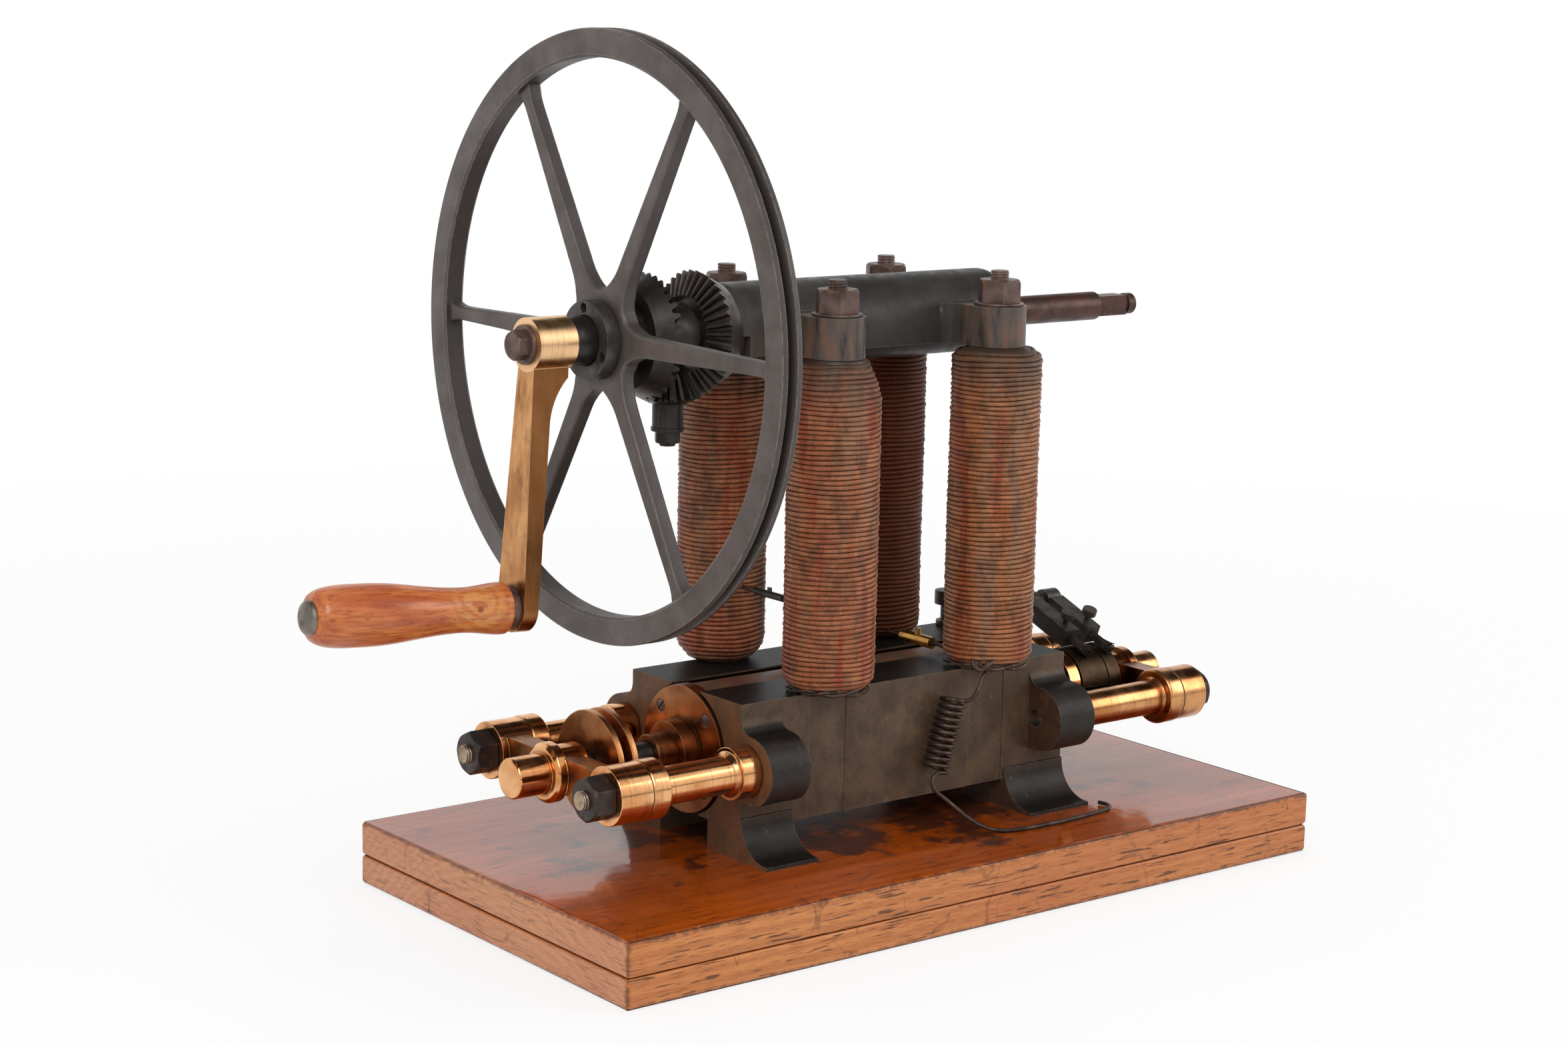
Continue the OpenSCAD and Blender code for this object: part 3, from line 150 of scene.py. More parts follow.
# Oak under shellac: growth layers 5 mm apart along the board, fibres and short dark pores, and a clear glossy coat
# on the top. Grime lies round the machine, and the seam and the upper edges are dark with dirt and knocks.
oak, tree, shader, where = new_finish("varnished_oak")
x, y, z = add(tree, "SeparateXYZ", {0: where}).node.outputs
lengthways, _, upwards = add(tree, "SeparateXYZ", {0: add(tree, "TexCoord", {}, "Normal")}).node.outputs
on_top = add(tree, "MapRange", {0: upwards, 1: 0.6, 2: 0.95})
on_end = add(tree, "Math", {0: lengthways}, operation="ABSOLUTE")
on_end = add(tree, "MapRange", {0: on_end, 1: 0.6, 2: 0.95})
heart = add(tree, "Mapping", {0: where, "Location": tree_heart, "Scale": (0.05, 1, 1)})
layers = add(tree, "TexWave", {"Vector": heart, "Scale": math.pi / (10 * growth_layer), "Distortion": 6, "Detail": 3,
                               "Detail Scale": 0.6, "Detail Roughness": 0.6},
             "Fac", wave_type="RINGS", rings_direction="X")
tone = add(tree, "TexNoise", {"Vector": add(tree, "Mapping", {0: where, "Scale": (0.3, 1, 1)}),
                              "Scale": 1 / (60 * mm), "Detail": 4})
stretch = add(tree, "CombineXYZ", {0: 0.07, 1: add(tree, "MapRange", {0: on_top, 3: 0.08, 4: 1}), 2: 1})
grain = add(tree, "VectorMath", {0: where, 1: stretch}, operation="MULTIPLY")
fibre = add(tree, "TexNoise", {"Vector": grain, "Scale": 1 / (0.8 * mm), "Detail": 3})
pores = add(tree, "TexNoise", {"Vector": grain, "Scale": 1 / (1.3 * mm), "Detail": 2})
share = add(tree, "MapRange", {0: layers, 1: 0.2, 2: 0.85, 4: 0.45})
edge_wood = add(tree, "Mix", {0: share, 6: "#C98248", 7: "#A45C2C"}, 2, data_type="RGBA")
share = add(tree, "MapRange", {0: tone, 1: 0.38, 2: 0.62, 4: 0.7})
edge_wood = add(tree, "Mix", {0: share, 6: edge_wood, 7: "#B86C3C"}, 2, data_type="RGBA")
share = add(tree, "MapRange", {0: on_end, 4: 0.3})
edge_wood = add(tree, "Mix", {0: share, 6: edge_wood, 7: "#D2A084"}, 2, data_type="RGBA")
share = add(tree, "MapRange", {0: layers, 1: 0.2, 2: 0.9, 4: 0.55})
top_wood = add(tree, "Mix", {0: share, 6: "#B04E08", 7: "#953F06"}, 2, data_type="RGBA")
share = add(tree, "MapRange", {0: tone, 1: 0.4, 2: 0.66, 4: 0.75})
top_wood = add(tree, "Mix", {0: share, 6: top_wood, 7: "#742E04"}, 2, data_type="RGBA")
wood = add(tree, "Mix", {0: on_top, 6: edge_wood, 7: top_wood}, 2, data_type="RGBA")
streaky = add(tree, "Math", {0: add(tree, "MapRange", {0: on_top, 3: 0.55, 4: 0.2}),
                             1: add(tree, "MapRange", {0: on_end, 3: 1, 4: 0.6})}, operation="MULTIPLY")
share = add(tree, "MapRange", {0: fibre, 1: 0.52, 2: 0.66, 4: streaky})
wood = add(tree, "Mix", {0: share, 6: wood, 7: "#84431A"}, 2, data_type="RGBA")
share = add(tree, "MapRange", {0: pores, 1: 0.61, 2: 0.67, 4: add(tree, "MapRange", {0: on_end, 3: 0.85, 4: 0.4})})
wood = add(tree, "Mix", {0: share, 6: wood, 7: "#4E2610"}, 2, data_type="RGBA")
stain = add(tree, "TexNoise", {"Vector": where, "Scale": 1 / (34 * mm), "Detail": 7, "Roughness": 0.62})
machine = add(tree, "VectorMath", {0: where, 1: (1 / grime_x, 1 / grime_y, 0)}, operation="MULTIPLY")
machine = add(tree, "VectorMath", {0: machine}, "Value", operation="LENGTH")
grime = add(tree, "Math", {0: stain, 1: add(tree, "MapRange", {0: machine, 1: 0.55, 2: 1.1, 3: 0.18, 4: 0})})
grime = add(tree, "MapRange", {0: grime, 1: 0.625, 2: 0.71, 4: 0.85})
grime = add(tree, "Math", {0: grime, 1: on_top}, operation="MULTIPLY")
wood = add(tree, "Mix", {0: grime, 6: wood, 7: "#2E1C17"}, 2, data_type="RGBA")
specks = add(tree, "TexNoise", {"Vector": where, "Scale": 1 / (5 * mm), "Detail": 4, "Roughness": 0.6})
share = add(tree, "MapRange", {0: specks, 1: 0.69, 2: 0.73, 4: 0.9})
wood = add(tree, "Mix", {0: share, 6: wood, 7: "#24130E"}, 2, data_type="RGBA")
dots = add(tree, "TexNoise", {"Vector": where, "Scale": 1 / (2.6 * mm), "Detail": 2})
share = add(tree, "Math", {0: add(tree, "MapRange", {0: dots, 1: 0.7, 2: 0.74, 4: 0.85}), 1: on_top},
            operation="MULTIPLY")
wood = add(tree, "Mix", {0: share, 6: wood, 7: "#2A1610"}, 2, data_type="RGBA")
seam = add(tree, "Math", {0: add(tree, "Math", {0: z, 1: seam_z}, operation="SUBTRACT")}, operation="ABSOLUTE")
seam = add(tree, "MapRange", {0: seam, 1: 0.4 * mm, 2: 0.15 * mm})
seam = add(tree, "Math", {0: seam, 1: add(tree, "MapRange", {0: specks, 1: 0.32, 2: 0.55, 3: 0.35, 4: 0.9})},
           operation="MULTIPLY")
wood = add(tree, "Mix", {0: seam, 6: wood, 7: "#341B10"}, 2, data_type="RGBA")
from_end = add(tree, "Math", {0: base_half.x, 1: add(tree, "Math", {0: x}, operation="ABSOLUTE")},
               operation="SUBTRACT")
from_side = add(tree, "Math", {0: base_half.y, 1: add(tree, "Math", {0: y}, operation="ABSOLUTE")},
                operation="SUBTRACT")
from_face = add(tree, "Math", {0: base_top, 1: z}, operation="SUBTRACT")
from_face = add(tree, "Math", {0: from_face, 1: z}, operation="MINIMUM")
nearer = add(tree, "Math", {0: from_end, 1: from_side}, operation="MINIMUM")
farther = add(tree, "Math", {0: from_end, 1: from_side}, operation="MAXIMUM")
from_edge = add(tree, "Math", {0: farther, 1: from_face}, operation="MINIMUM")
from_edge = add(tree, "Math", {0: nearer, 1: from_edge}, operation="MAXIMUM")
ragged = add(tree, "MapRange", {0: specks, 1: 0.36, 2: 0.66, 3: 0.9 * mm, 4: 3.6 * mm})
knocks = add(tree, "MapRange", {0: from_edge, 1: ragged, 2: 0.4 * mm, 4: 0.85})
wood = add(tree, "Mix", {0: knocks, 6: wood, 7: "#3A190D"}, 2, data_type="RGBA")
scuff = add(tree, "TexNoise", {"Vector": where, "Scale": 1 / (26 * mm), "Detail": 1, "Distortion": 0.5})
scuff = add(tree, "Math", {0: add(tree, "Math", {0: scuff, 1: 0.5}, operation="SUBTRACT")}, operation="ABSOLUTE")
scuff = add(tree, "Math", {0: add(tree, "MapRange", {0: scuff, 1: 0.009, 2: 0.002}),
                           1: add(tree, "MapRange", {0: stain, 1: 0.42, 2: 0.54, 4: 0.7})}, operation="MULTIPLY")
scuff = add(tree, "Math", {0: scuff, 1: add(tree, "MapRange", {0: on_top, 3: 0.6, 4: 1})}, operation="MULTIPLY")
wood = add(tree, "Mix", {0: scuff, 6: wood, 7: "#4A2412"}, 2, data_type="RGBA")
ripple = add(tree, "TexNoise", {"Vector": where, "Scale": 1 / (22 * mm), "Detail": 2})
feed(tree, shader, {
    "Base Color": wood, "Roughness": add(tree, "MapRange", {0: tone, 1: 0.3, 2: 0.7, 3: 0.32, 4: 0.5}),
    "Coat Weight": add(tree, "MapRange", {0: on_top, 3: 0.15, 4: 0.84}),
    "Specular IOR Level": add(tree, "MapRange", {0: on_top, 3: 0.35, 4: 0.08}),
    "Coat Roughness": add(tree, "MapRange", {0: stain, 1: 0.4, 2: 0.7, 3: 0.06, 4: 0.16}),
    "Coat Normal": add(tree, "Bump", {"Height": ripple, "Distance": 0.3 * mm, "Strength": 0.5}),
    "Normal": add(tree, "Bump", {"Height": pores, "Distance": 0.3 * mm, "Strength": 0.35})})

for node in ("base_lower_board", "base_upper_board"):
    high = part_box(node)[1]
    board = copied(node)
    at_corner = [abs(v.co.x) > high.x - 0.1 * mm and abs(v.co.y) > high.y - 0.1 * mm for v in board.data.vertices]
    choose_edges(board, [at_corner[e.vertices[0]] and at_corner[e.vertices[1]] for e in board.data.edges])
    bpy.ops.mesh.bevel(offset=corner_round, segments=8)
    bpy.ops.object.mode_set(mode="OBJECT")
    on_rim = [v.co.z > base_top - 0.01 * mm for v in board.data.vertices]
    choose_edges(board, [on_rim[e.vertices[0]] and on_rim[e.vertices[1]] for e in board.data.edges])
    bpy.ops.mesh.bevel(offset=top_round, segments=5)
    bpy.ops.object.mode_set(mode="OBJECT")
    outside = [v.co.z < 0.01 * mm and max(abs(v.co.x) - high.x, abs(v.co.y) - high.y) > -2 * corner_round
               for v in board.data.vertices]
    choose_edges(board, [outside[e.vertices[0]] and outside[e.vertices[1]] for e in board.data.edges])
    bpy.ops.mesh.bevel(offset=foot_round, segments=5)
    bpy.ops.object.mode_set(mode="OBJECT")
    dress(rounded(board, board_round, 3), "frame", oak, node)

# Foot bolts: four coach bolts that come up through both boards into the feet of the pole pieces.
# Plain steel, browned by age; only their heads show, in recesses under the base.
steel_edge = 0.35 * mm


def at_edges(tree, radius, first=0.999, last=0.93, most=1.0):
    """How much a point lies on a sharp edge: none on the flat, most where a rounded normal leans away."""
    flat = add(tree, "VectorMath", {0: add(tree, "Bevel", {"Radius": radius}),
                                    1: add(tree, "NewGeometry", {}, "Normal")}, "Value", operation="DOT_PRODUCT")
    return add(tree, "MapRange", {0: flat, 1: first, 2: last, 4: most})


def aged_steel(name, clean, dark, rust, metallic, smooth, rough):
    """Oxidised steel: a dull even skin, patches of rust, and brighter metal where edges are rubbed."""
    finish, tree, shader, where = new_finish(name)
    skin = add(tree, "TexNoise", {"Vector": where, "Scale": 1 / (9 * mm), "Detail": 6})
    spots = add(tree, "TexNoise", {"Vector": where, "Scale": 1 / (4 * mm), "Detail": 5})
    grit = add(tree, "TexNoise", {"Vector": where, "Scale": 1 / (1.2 * mm), "Detail": 3})
    share = add(tree, "MapRange", {0: skin, 1: 0.35, 2: 0.62})
    colour = add(tree, "Mix", {0: share, 6: clean, 7: dark}, 2, data_type="RGBA")
    share = add(tree, "MapRange", {0: spots, 1: 0.56, 2: 0.7, 4: 0.8})
    colour = add(tree, "Mix", {0: share, 6: colour, 7: rust}, 2, data_type="RGBA")
    rubbed = add(tree, "Math", {0: at_edges(tree, 0.7 * mm),
                                1: add(tree, "MapRange", {0: grit, 1: 0.35, 2: 0.6, 3: 0.1, 4: 0.6})},
                 operation="MULTIPLY")
    lighter = add(tree, "HueSaturation", {"Value": 2.1, "Saturation": 0.75, "Color": colour})
    feed(tree, shader, {
        "Metallic": metallic, "Base Color": add(tree, "Mix", {0: rubbed, 6: colour, 7: lighter}, 2, data_type="RGBA"),
        "Roughness": add(tree, "MapRange", {0: skin, 1: 0.3, 2: 0.7, 3: smooth, 4: rough}),
        "Normal": add(tree, "Bump", {"Height": grit, "Distance": 0.12 * mm, "Strength": 0.4})})
    return finish


# Browned steel: a thin rust that was oiled, so it is dark red-brown with a dull shine.
browned_steel = aged_steel("browned_steel", "#6C5750", "#473832", "#754C38", 0.55, 0.34, 0.52)
dress(rounded(copied("foot_bolts"), steel_edge), "frame", browned_steel, "foot_bolts")

# Pole pieces: two iron castings with flared feet, a half tunnel for the armature and lugs for the pillars.
# Brown-grey paint covers the flat faces; the tops, lugs and flares were blackened and wore to a blue-black shine.
pole_edge = 0.9 * mm
pole_flat_y = 47.3 * mm
lug_x = 50 * mm

# Painted cast iron: a matt brown-grey coat, sandy and patchy, with bare black iron where it wore through and rust on
# the ends that face the crank.
iron_black, tree, shader, where = new_finish("painted_cast_iron")
x, y, _ = add(tree, "SeparateXYZ", {0: where}).node.outputs
lengthways, _, upwards = add(tree, "SeparateXYZ", {0: add(tree, "TexCoord", {}, "Normal")}).node.outputs
cloud = add(tree, "TexNoise", {"Vector": where, "Scale": 1 / (16 * mm), "Detail": 6, "Roughness": 0.6})
streak = add(tree, "TexNoise", {"Vector": add(tree, "Mapping", {0: where, "Scale": (1, 1, 0.45)}),
                                "Scale": 1 / (11 * mm), "Detail": 6, "Roughness": 0.65})
sand = add(tree, "TexNoise", {"Vector": where, "Scale": 1 / (1.6 * mm), "Detail": 4})
share = add(tree, "MapRange", {0: cloud, 1: 0.35, 2: 0.65})
paint = add(tree, "Mix", {0: share, 6: "#5B4531", 7: "#402F21"}, 2, data_type="RGBA")
black = add(tree, "Mix", {0: share, 6: "#36312E", 7: "#292523"}, 2, data_type="RGBA")
share = add(tree, "MapRange", {0: streak, 1: 0.5, 2: 0.74, 4: 0.6})
paint = add(tree, "Mix", {0: share, 6: paint, 7: "#665140"}, 2, data_type="RGBA")
black = add(tree, "Mix", {0: share, 6: black, 7: "#3B342F"}, 2, data_type="RGBA")
beyond = add(tree, "Math", {0: y}, operation="ABSOLUTE")
beyond = add(tree, "MapRange", {0: beyond, 1: pole_flat_y, 2: pole_flat_y + 1.2 * mm})
endwise = add(tree, "Math", {0: lengthways}, operation="ABSOLUTE")
beyond = add(tree, "Math", {0: beyond, 1: add(tree, "MapRange", {0: endwise, 1: 0.4, 2: 0.7, 3: 1, 4: 0})},
             operation="MULTIPLY")
bare = add(tree, "Math", {0: beyond, 1: add(tree, "MapRange", {0: upwards, 1: 0.5, 2: 0.8})}, operation="MAXIMUM")
bare = add(tree, "Math", {0: bare, 1: add(tree, "MapRange", {0: streak, 1: 0.68, 2: 0.74, 3: 1, 4: 0.35})},
           operation="MULTIPLY")
colour = add(tree, "Mix", {0: bare, 6: paint, 7: black}, 2, data_type="RGBA")
# Painted shade: the faces at the far lugs that look back towards the crank are darkened to a deep brown.
lug_back_shade = add(tree, "Math", {0: add(tree, "MapRange", {0: lengthways, 1: -0.7, 2: -0.9}),
                          1: add(tree, "MapRange", {0: x, 1: lug_x, 2: lug_x + 10 * mm})}, operation="MULTIPLY")
lug_back_shade = add(tree, "Math", {0: lug_back_shade, 1: add(tree, "MapRange", {0: cloud, 1: 0.3, 2: 0.6, 3: 0.4, 4: 0.9})},
           operation="MULTIPLY")
colour = add(tree, "Mix", {0: lug_back_shade, 6: colour, 7: "#3F2417"}, 2, data_type="RGBA")
rusty = add(tree, "Math", {0: add(tree, "MapRange", {0: lengthways, 1: -0.6, 2: -0.9}),
                           1: add(tree, "MapRange", {0: x, 1: 0, 2: -lug_x})}, operation="MULTIPLY")
rusty = add(tree, "Math", {0: rusty, 1: add(tree, "MapRange", {0: streak, 1: 0.4, 2: 0.6, 3: 0.25, 4: 0.9})},
            operation="MULTIPLY")
colour = add(tree, "Mix", {0: rusty, 6: colour, 7: "#784C2C"}, 2, data_type="RGBA")
pits = add(tree, "TexNoise", {"Vector": where, "Scale": 1 / (3 * mm), "Detail": 5, "Roughness": 0.7})
share = add(tree, "MapRange", {0: pits, 1: 0.4, 2: 0.32, 4: 0.6})
colour = add(tree, "Mix", {0: share, 6: colour, 7: "#1E1712"}, 2, data_type="RGBA")
share = add(tree, "MapRange", {0: pits, 1: 0.64, 2: 0.7, 4: 0.4})
colour = add(tree, "Mix", {0: share, 6: colour, 7: "#8C7C6A"}, 2, data_type="RGBA")
# Painted shade: faces that look straight up are darkened further, nearly to black.
share = add(tree, "MapRange", {0: upwards, 1: 0.8, 2: 0.95, 4: 0.75})
colour = add(tree, "Mix", {0: share, 6: colour, 7: "#141110"}, 2, data_type="RGBA")
worn = add(tree, "Math", {0: at_edges(tree, 1.2 * mm),
                          1: add(tree, "MapRange", {0: sand, 1: 0.35, 2: 0.65, 4: 0.5})}, operation="MULTIPLY")
colour = add(tree, "Mix", {0: worn, 6: colour, 7: "#7A6E62"}, 2, data_type="RGBA")
feed(tree, shader, {
    "Base Color": colour, "Roughness": add(tree, "MapRange", {0: bare, 3: 0.52, 4: 0.36}),
    "Specular IOR Level": add(tree, "Math", {0: add(tree, "MapRange", {0: bare, 3: 0.35, 4: 0.11}),
                                             1: add(tree, "MapRange", {0: upwards, 1: 0.8, 2: 0.95, 3: 1, 4: 0.35})},
                              operation="MULTIPLY"),
    "Normal": add(tree, "Bump", {"Height": sand, "Distance": 0.25 * mm, "Strength": 0.35})})

for casting in ("pole_piece_near", "pole_piece_far"):
    dress(rounded(copied(casting), pole_edge), "frame", iron_black, casting)

# Cores: round iron bars let into the pole pieces and filed flush, each with a threaded stud for the yoke's nut.
# The thread is cut at 1.5 mm to the turn and shows above the nut.
stud_pitch = 1.5 * mm
stud_thread_r = 4.35 * mm
thread_height = 0.5 * mm
coil_names = ("near_left", "near_right", "far_left", "far_right")


def drawn_wire(name, points, radius, resolution):
    """A round wire along the points, as a curve."""
    line = bpy.data.curves.new(name, "CURVE")
    line.dimensions = "3D"
    line.bevel_depth = radius
    line.bevel_resolution = resolution
    line.use_fill_caps = True
    run = line.splines.new("POLY")
    run.points.add(len(points) - 1)
    for knot, point in zip(run.points, points):
        knot.co = (*point, 1)
    run.use_smooth = True
    wire = bpy.data.objects.new(name, line)
    bpy.context.scene.collection.objects.link(wire)
    return wire


def tube(name, points, radius, corners=6):
    """A round wire along the points, as a mesh with closed ends."""
    pick(drawn_wire(name, points, radius, corners // 2 - 2))
    bpy.ops.object.convert(target="MESH")
    bpy.ops.object.shade_smooth()
    return bpy.context.object


def joined(*pieces):
    """Joins the pieces into the first one."""
    pick(*pieces)
    bpy.ops.object.join()
    return pieces[0]


def thread(centre, along, radius, length, pitch, steps=20):
    """The ridge of a screw thread round an axis, from centre outwards."""
    along = Vector(along).normalized()
    side = along.orthogonal().normalized()
    other = along.cross(side)
    turns = int(length / pitch * steps)
    points = [Vector(centre) + along * (pitch * i / steps)
              + radius * (side * math.cos(math.tau * i / steps) + other * math.sin(math.tau * i / steps))
              for i in range(turns + 1)]
    return tube("thread", points, thread_height)


nut_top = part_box("yoke_nuts")[1].z
for name in coil_names:
    core = "core_" + name
    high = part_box(core)[1]
    coil_low, coil_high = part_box("coil_" + name)
    axis = (coil_low + coil_high) / 2
    stud = thread((axis.x, axis.y, nut_top - 1 * mm), (0, 0, 1), stud_thread_r, high.z - nut_top + 0.4 * mm, stud_pitch)
    bar = dress(joined(rounded(copied(core), 0.5 * mm), stud), "frame", iron_black, core)
    bar.data.materials.append(browned_steel)
    for face in bar.data.polygons:
        face.material_index = int(face.center.z > coil_high.z)

# Field coils: about sixty turns of cotton-covered copper wire a layer, wound straight on the cores by hand.
# The outer layer stops short of the ends, so each coil narrows there in its own way; shellac holds the turns.
coil_r = 24.2 * mm
wire_pitch = 2.45 * mm
wire_r = 1.24 * mm
groove_depth = 1.5 * mm
neck_r = 17 * mm
core_bore = 12.1 * mm
coil_turn_steps = 40
coil_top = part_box("coil_near_left")[1].z
head_clean, head_dark = 254 * mm, 276 * mm
foot_clean, foot_dark = 121 * mm, 115 * mm
coil_ends = {"near_left": (10, 23), "near_right": (9, 6), "far_left": (12, 20), "far_right": (8, 8)}

# Cotton yarn soaked in shellac: orange-brown, dull on the crown of each turn, redder in streaks where it was handled,
# and nearly black towards the ends where dirt and shellac gathered; painted shade darkens the grooves between the
# turns. The near right coil faded to a yellower brown, and the far right one is painted darkest, as shade.
# The yarn is drawn at 0.9 mm, coarser than the real thread, so that it shows.
cotton, tree, shader, where = new_finish("shellacked_cotton")
x, y, z = add(tree, "SeparateXYZ", {0: where}).node.outputs
cloud = add(tree, "TexNoise", {"Vector": where, "Scale": 1 / (26 * mm), "Detail": 5, "Roughness": 0.6})
turns = add(tree, "TexNoise", {"Vector": add(tree, "Mapping", {0: where, "Scale": (0.2, 0.2, 1)}),
                               "Scale": 1 / (2.4 * mm), "Detail": 3})
runs = add(tree, "TexNoise", {"Vector": add(tree, "Mapping", {0: where, "Scale": (1, 1, 0.12)}),
                              "Scale": 1 / (11 * mm), "Detail": 3})
yarn = add(tree, "TexNoise", {"Vector": where, "Scale": 1 / (0.9 * mm), "Detail": 2})
dirt = add(tree, "TexNoise", {"Vector": add(tree, "Mapping", {0: where, "Scale": (1, 1, 0.6)}),
                              "Scale": 1 / (9 * mm), "Detail": 6, "Roughness": 0.7})
share = add(tree, "MapRange", {0: cloud, 1: 0.36, 2: 0.66})
colour = add(tree, "Mix", {0: share, 6: "#9C5A38", 7: "#7E4125"}, 2, data_type="RGBA")
share = add(tree, "Math", {0: add(tree, "MapRange", {0: x, 1: 0, 2: 40 * mm, 4: 0.65}),
                           1: add(tree, "MapRange", {0: y, 1: 20 * mm, 2: -20 * mm})}, operation="MULTIPLY")
colour = add(tree, "Mix", {0: share, 6: colour, 7: "#86501F"}, 2, data_type="RGBA")
share = add(tree, "MapRange", {0: turns, 1: 0.4, 2: 0.62, 4: 0.8})
colour = add(tree, "Mix", {0: share, 6: colour, 7: "#AA6C44"}, 2, data_type="RGBA")
share = add(tree, "MapRange", {0: runs, 1: 0.47, 2: 0.39, 4: 0.6})
colour = add(tree, "Mix", {0: share, 6: colour, 7: "#80644E"}, 2, data_type="RGBA")
share = add(tree, "MapRange", {0: runs, 1: 0.53, 2: 0.63, 4: 0.85})
colour = add(tree, "Mix", {0: share, 6: colour, 7: "#8A351C"}, 2, data_type="RGBA")
share = add(tree, "MapRange", {0: yarn, 1: 0.52, 2: 0.75, 4: 0.5})
colour = add(tree, "Mix", {0: share, 6: colour, 7: "#BE8A60"}, 2, data_type="RGBA")
share = add(tree, "MapRange", {0: dirt, 1: 0.48, 2: 0.64, 4: 0.7})
colour = add(tree, "Mix", {0: share, 6: colour, 7: "#563A28"}, 2, data_type="RGBA")
ends = add(tree, "Math", {0: add(tree, "MapRange", {0: z, 1: head_clean, 2: head_dark, 4: 0.66}),
                          1: add(tree, "MapRange", {0: z, 1: foot_clean, 2: foot_dark, 4: 0.7})}, operation="MAXIMUM")
colour = add(tree, "Mix", {0: ends, 6: colour, 7: "#46372B"}, 2, data_type="RGBA")
share = add(tree, "MapRange", {0: z, 1: coil_top - 5 * mm, 2: coil_top - 1 * mm, 4: 0.8})
colour = add(tree, "Mix", {0: share, 6: colour, 7: "#221812"}, 2, data_type="RGBA")
# Painted shade: the far right coil, which stands in shadow, is darkened to a deep brown and given less shine.
far_right_painted_shade = add(tree, "Math", {0: add(tree, "MapRange", {0: x, 1: 0, 2: 40 * mm, 4: 0.85}),
                            1: add(tree, "MapRange", {0: y, 1: 0, 2: 20 * mm})}, operation="MULTIPLY")
colour = add(tree, "Mix", {0: far_right_painted_shade, 6: colour, 7: "#4A1E06"}, 2, data_type="RGBA")
# Painted shade: the grooves between the turns darken where ambient occlusion finds them.
painted_crevice_shade = add(tree, "AmbientOcclusion", {"Distance": 0.8 * mm}, "AO", samples=8, only_local=True)
share = add(tree, "MapRange", {0: painted_crevice_shade, 1: 0.38, 2: 0.8, 3: 0.88, 4: 0})
colour = add(tree, "Mix", {0: share, 6: colour, 7: "#2E150D"}, 2, data_type="RGBA")
feed(tree, shader, {
    "Base Color": colour, "Specular IOR Level": add(tree, "MapRange", {0: far_right_painted_shade, 3: 0.4, 4: 0.12}),
    "Roughness": add(tree, "MapRange", {0: cloud, 1: 0.3, 2: 0.7, 3: 0.4, 4: 0.6}),
    "Normal": add(tree, "Bump", {"Height": yarn, "Distance": 0.3 * mm, "Strength": 0.5})})


def coil_radius(z, low, high, foot, head):
    """Outside radius of a coil at a height: full in the middle, rounded in to the neck at both ends."""
    share = min((z - low) / (foot * mm), (high - z) / (head * mm), 1.0)
    return neck_r + (coil_r - neck_r) * math.sin(max(share, 0.0) * math.pi / 2) ** 1.2


def turned(name, outline, axis, along, steps=64):
    """A turned piece: a closed outline of radius and height, drawn by extruding a point and spun round an axis."""
    along = Vector(along).normalized()
    side = along.orthogonal().normalized()
    foot = Vector(axis) - along * Vector(axis).dot(along)
    spots = [foot + side * r + along * h for r, h in outline]
    bpy.ops.object.select_all(action="DESELECT")
    bpy.ops.mesh.primitive_plane_add(size=mm, location=spots[0])
    piece = bpy.context.object
    piece.name = name
    bpy.ops.object.transform_apply(location=True, rotation=True, scale=True)
    bpy.ops.object.mode_set(mode="EDIT")
    bpy.ops.mesh.select_mode(type="VERT")
    bpy.ops.mesh.merge(type="CENTER")
    for here, there in zip(spots, spots[1:] + spots[:1]):
        bpy.ops.mesh.extrude_vertices_move(TRANSFORM_OT_translate={"value": there - here})
    bpy.ops.mesh.select_all(action="SELECT")
    bpy.ops.mesh.remove_doubles(threshold=0.01 * mm)
    bpy.ops.mesh.select_all(action="SELECT")
    bpy.ops.mesh.spin(steps=steps, angle=math.tau, center=foot, axis=along, use_auto_merge=True)
    bpy.ops.mesh.select_all(action="SELECT")
    bpy.ops.mesh.remove_doubles(threshold=0.01 * mm)
    bpy.ops.mesh.normals_make_consistent(inside=False)
    bpy.ops.object.mode_set(mode="OBJECT")
    bpy.ops.object.shade_smooth_by_angle(angle=math.radians(35))
    return piece


for seed, name in enumerate(coil_names):
    node = "coil_" + name
    low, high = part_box(node)
    axis = (low + high) / 2
    foot, head = coil_ends[name]
    points = []
    for i in range(int((high.z - low.z - 2 * wire_r) / wire_pitch) * coil_turn_steps + 1):
        turn = i / coil_turn_steps
        angle = math.tau * turn
        sway = 0.1 * mm * math.sin(turn * 1.31 + seed * 2) + 0.3 * mm * math.sin(angle * 3 + turn * 0.4 + seed)
        height = max(low.z + wire_r + wire_pitch * turn + sway, low.z + wire_r)
        uneven = 0.16 * mm * math.sin(turn * 2.399 + seed) + 0.1 * mm * math.sin(angle * 2 + turn * 1.7 + seed * 3)
        bulge = 0.1 * mm * (1 + math.sin(height / (19 * mm) + seed * 1.9 + math.cos(angle + seed)))
        reach = coil_radius(height, low.z, high.z, foot, head) - wire_r - 0.3 * mm + uneven - bulge
        points.append((axis.x + reach * math.cos(angle), axis.y + reach * math.sin(angle), height))
    layer = tube("winding_" + name, points, wire_r, 8)
    steps = 60
    outline = [(coil_radius(low.z + (high.z - low.z) * i / steps, low.z, high.z, foot, head) - groove_depth,
                low.z + (high.z - low.z) * i / steps) for i in range(steps + 1)]
    body = turned("coil_body", outline + [(core_bore, high.z), (core_bore, low.z)], axis, (0, 0, 1))
    dress(joined(layer, body), "frame", cotton, node)

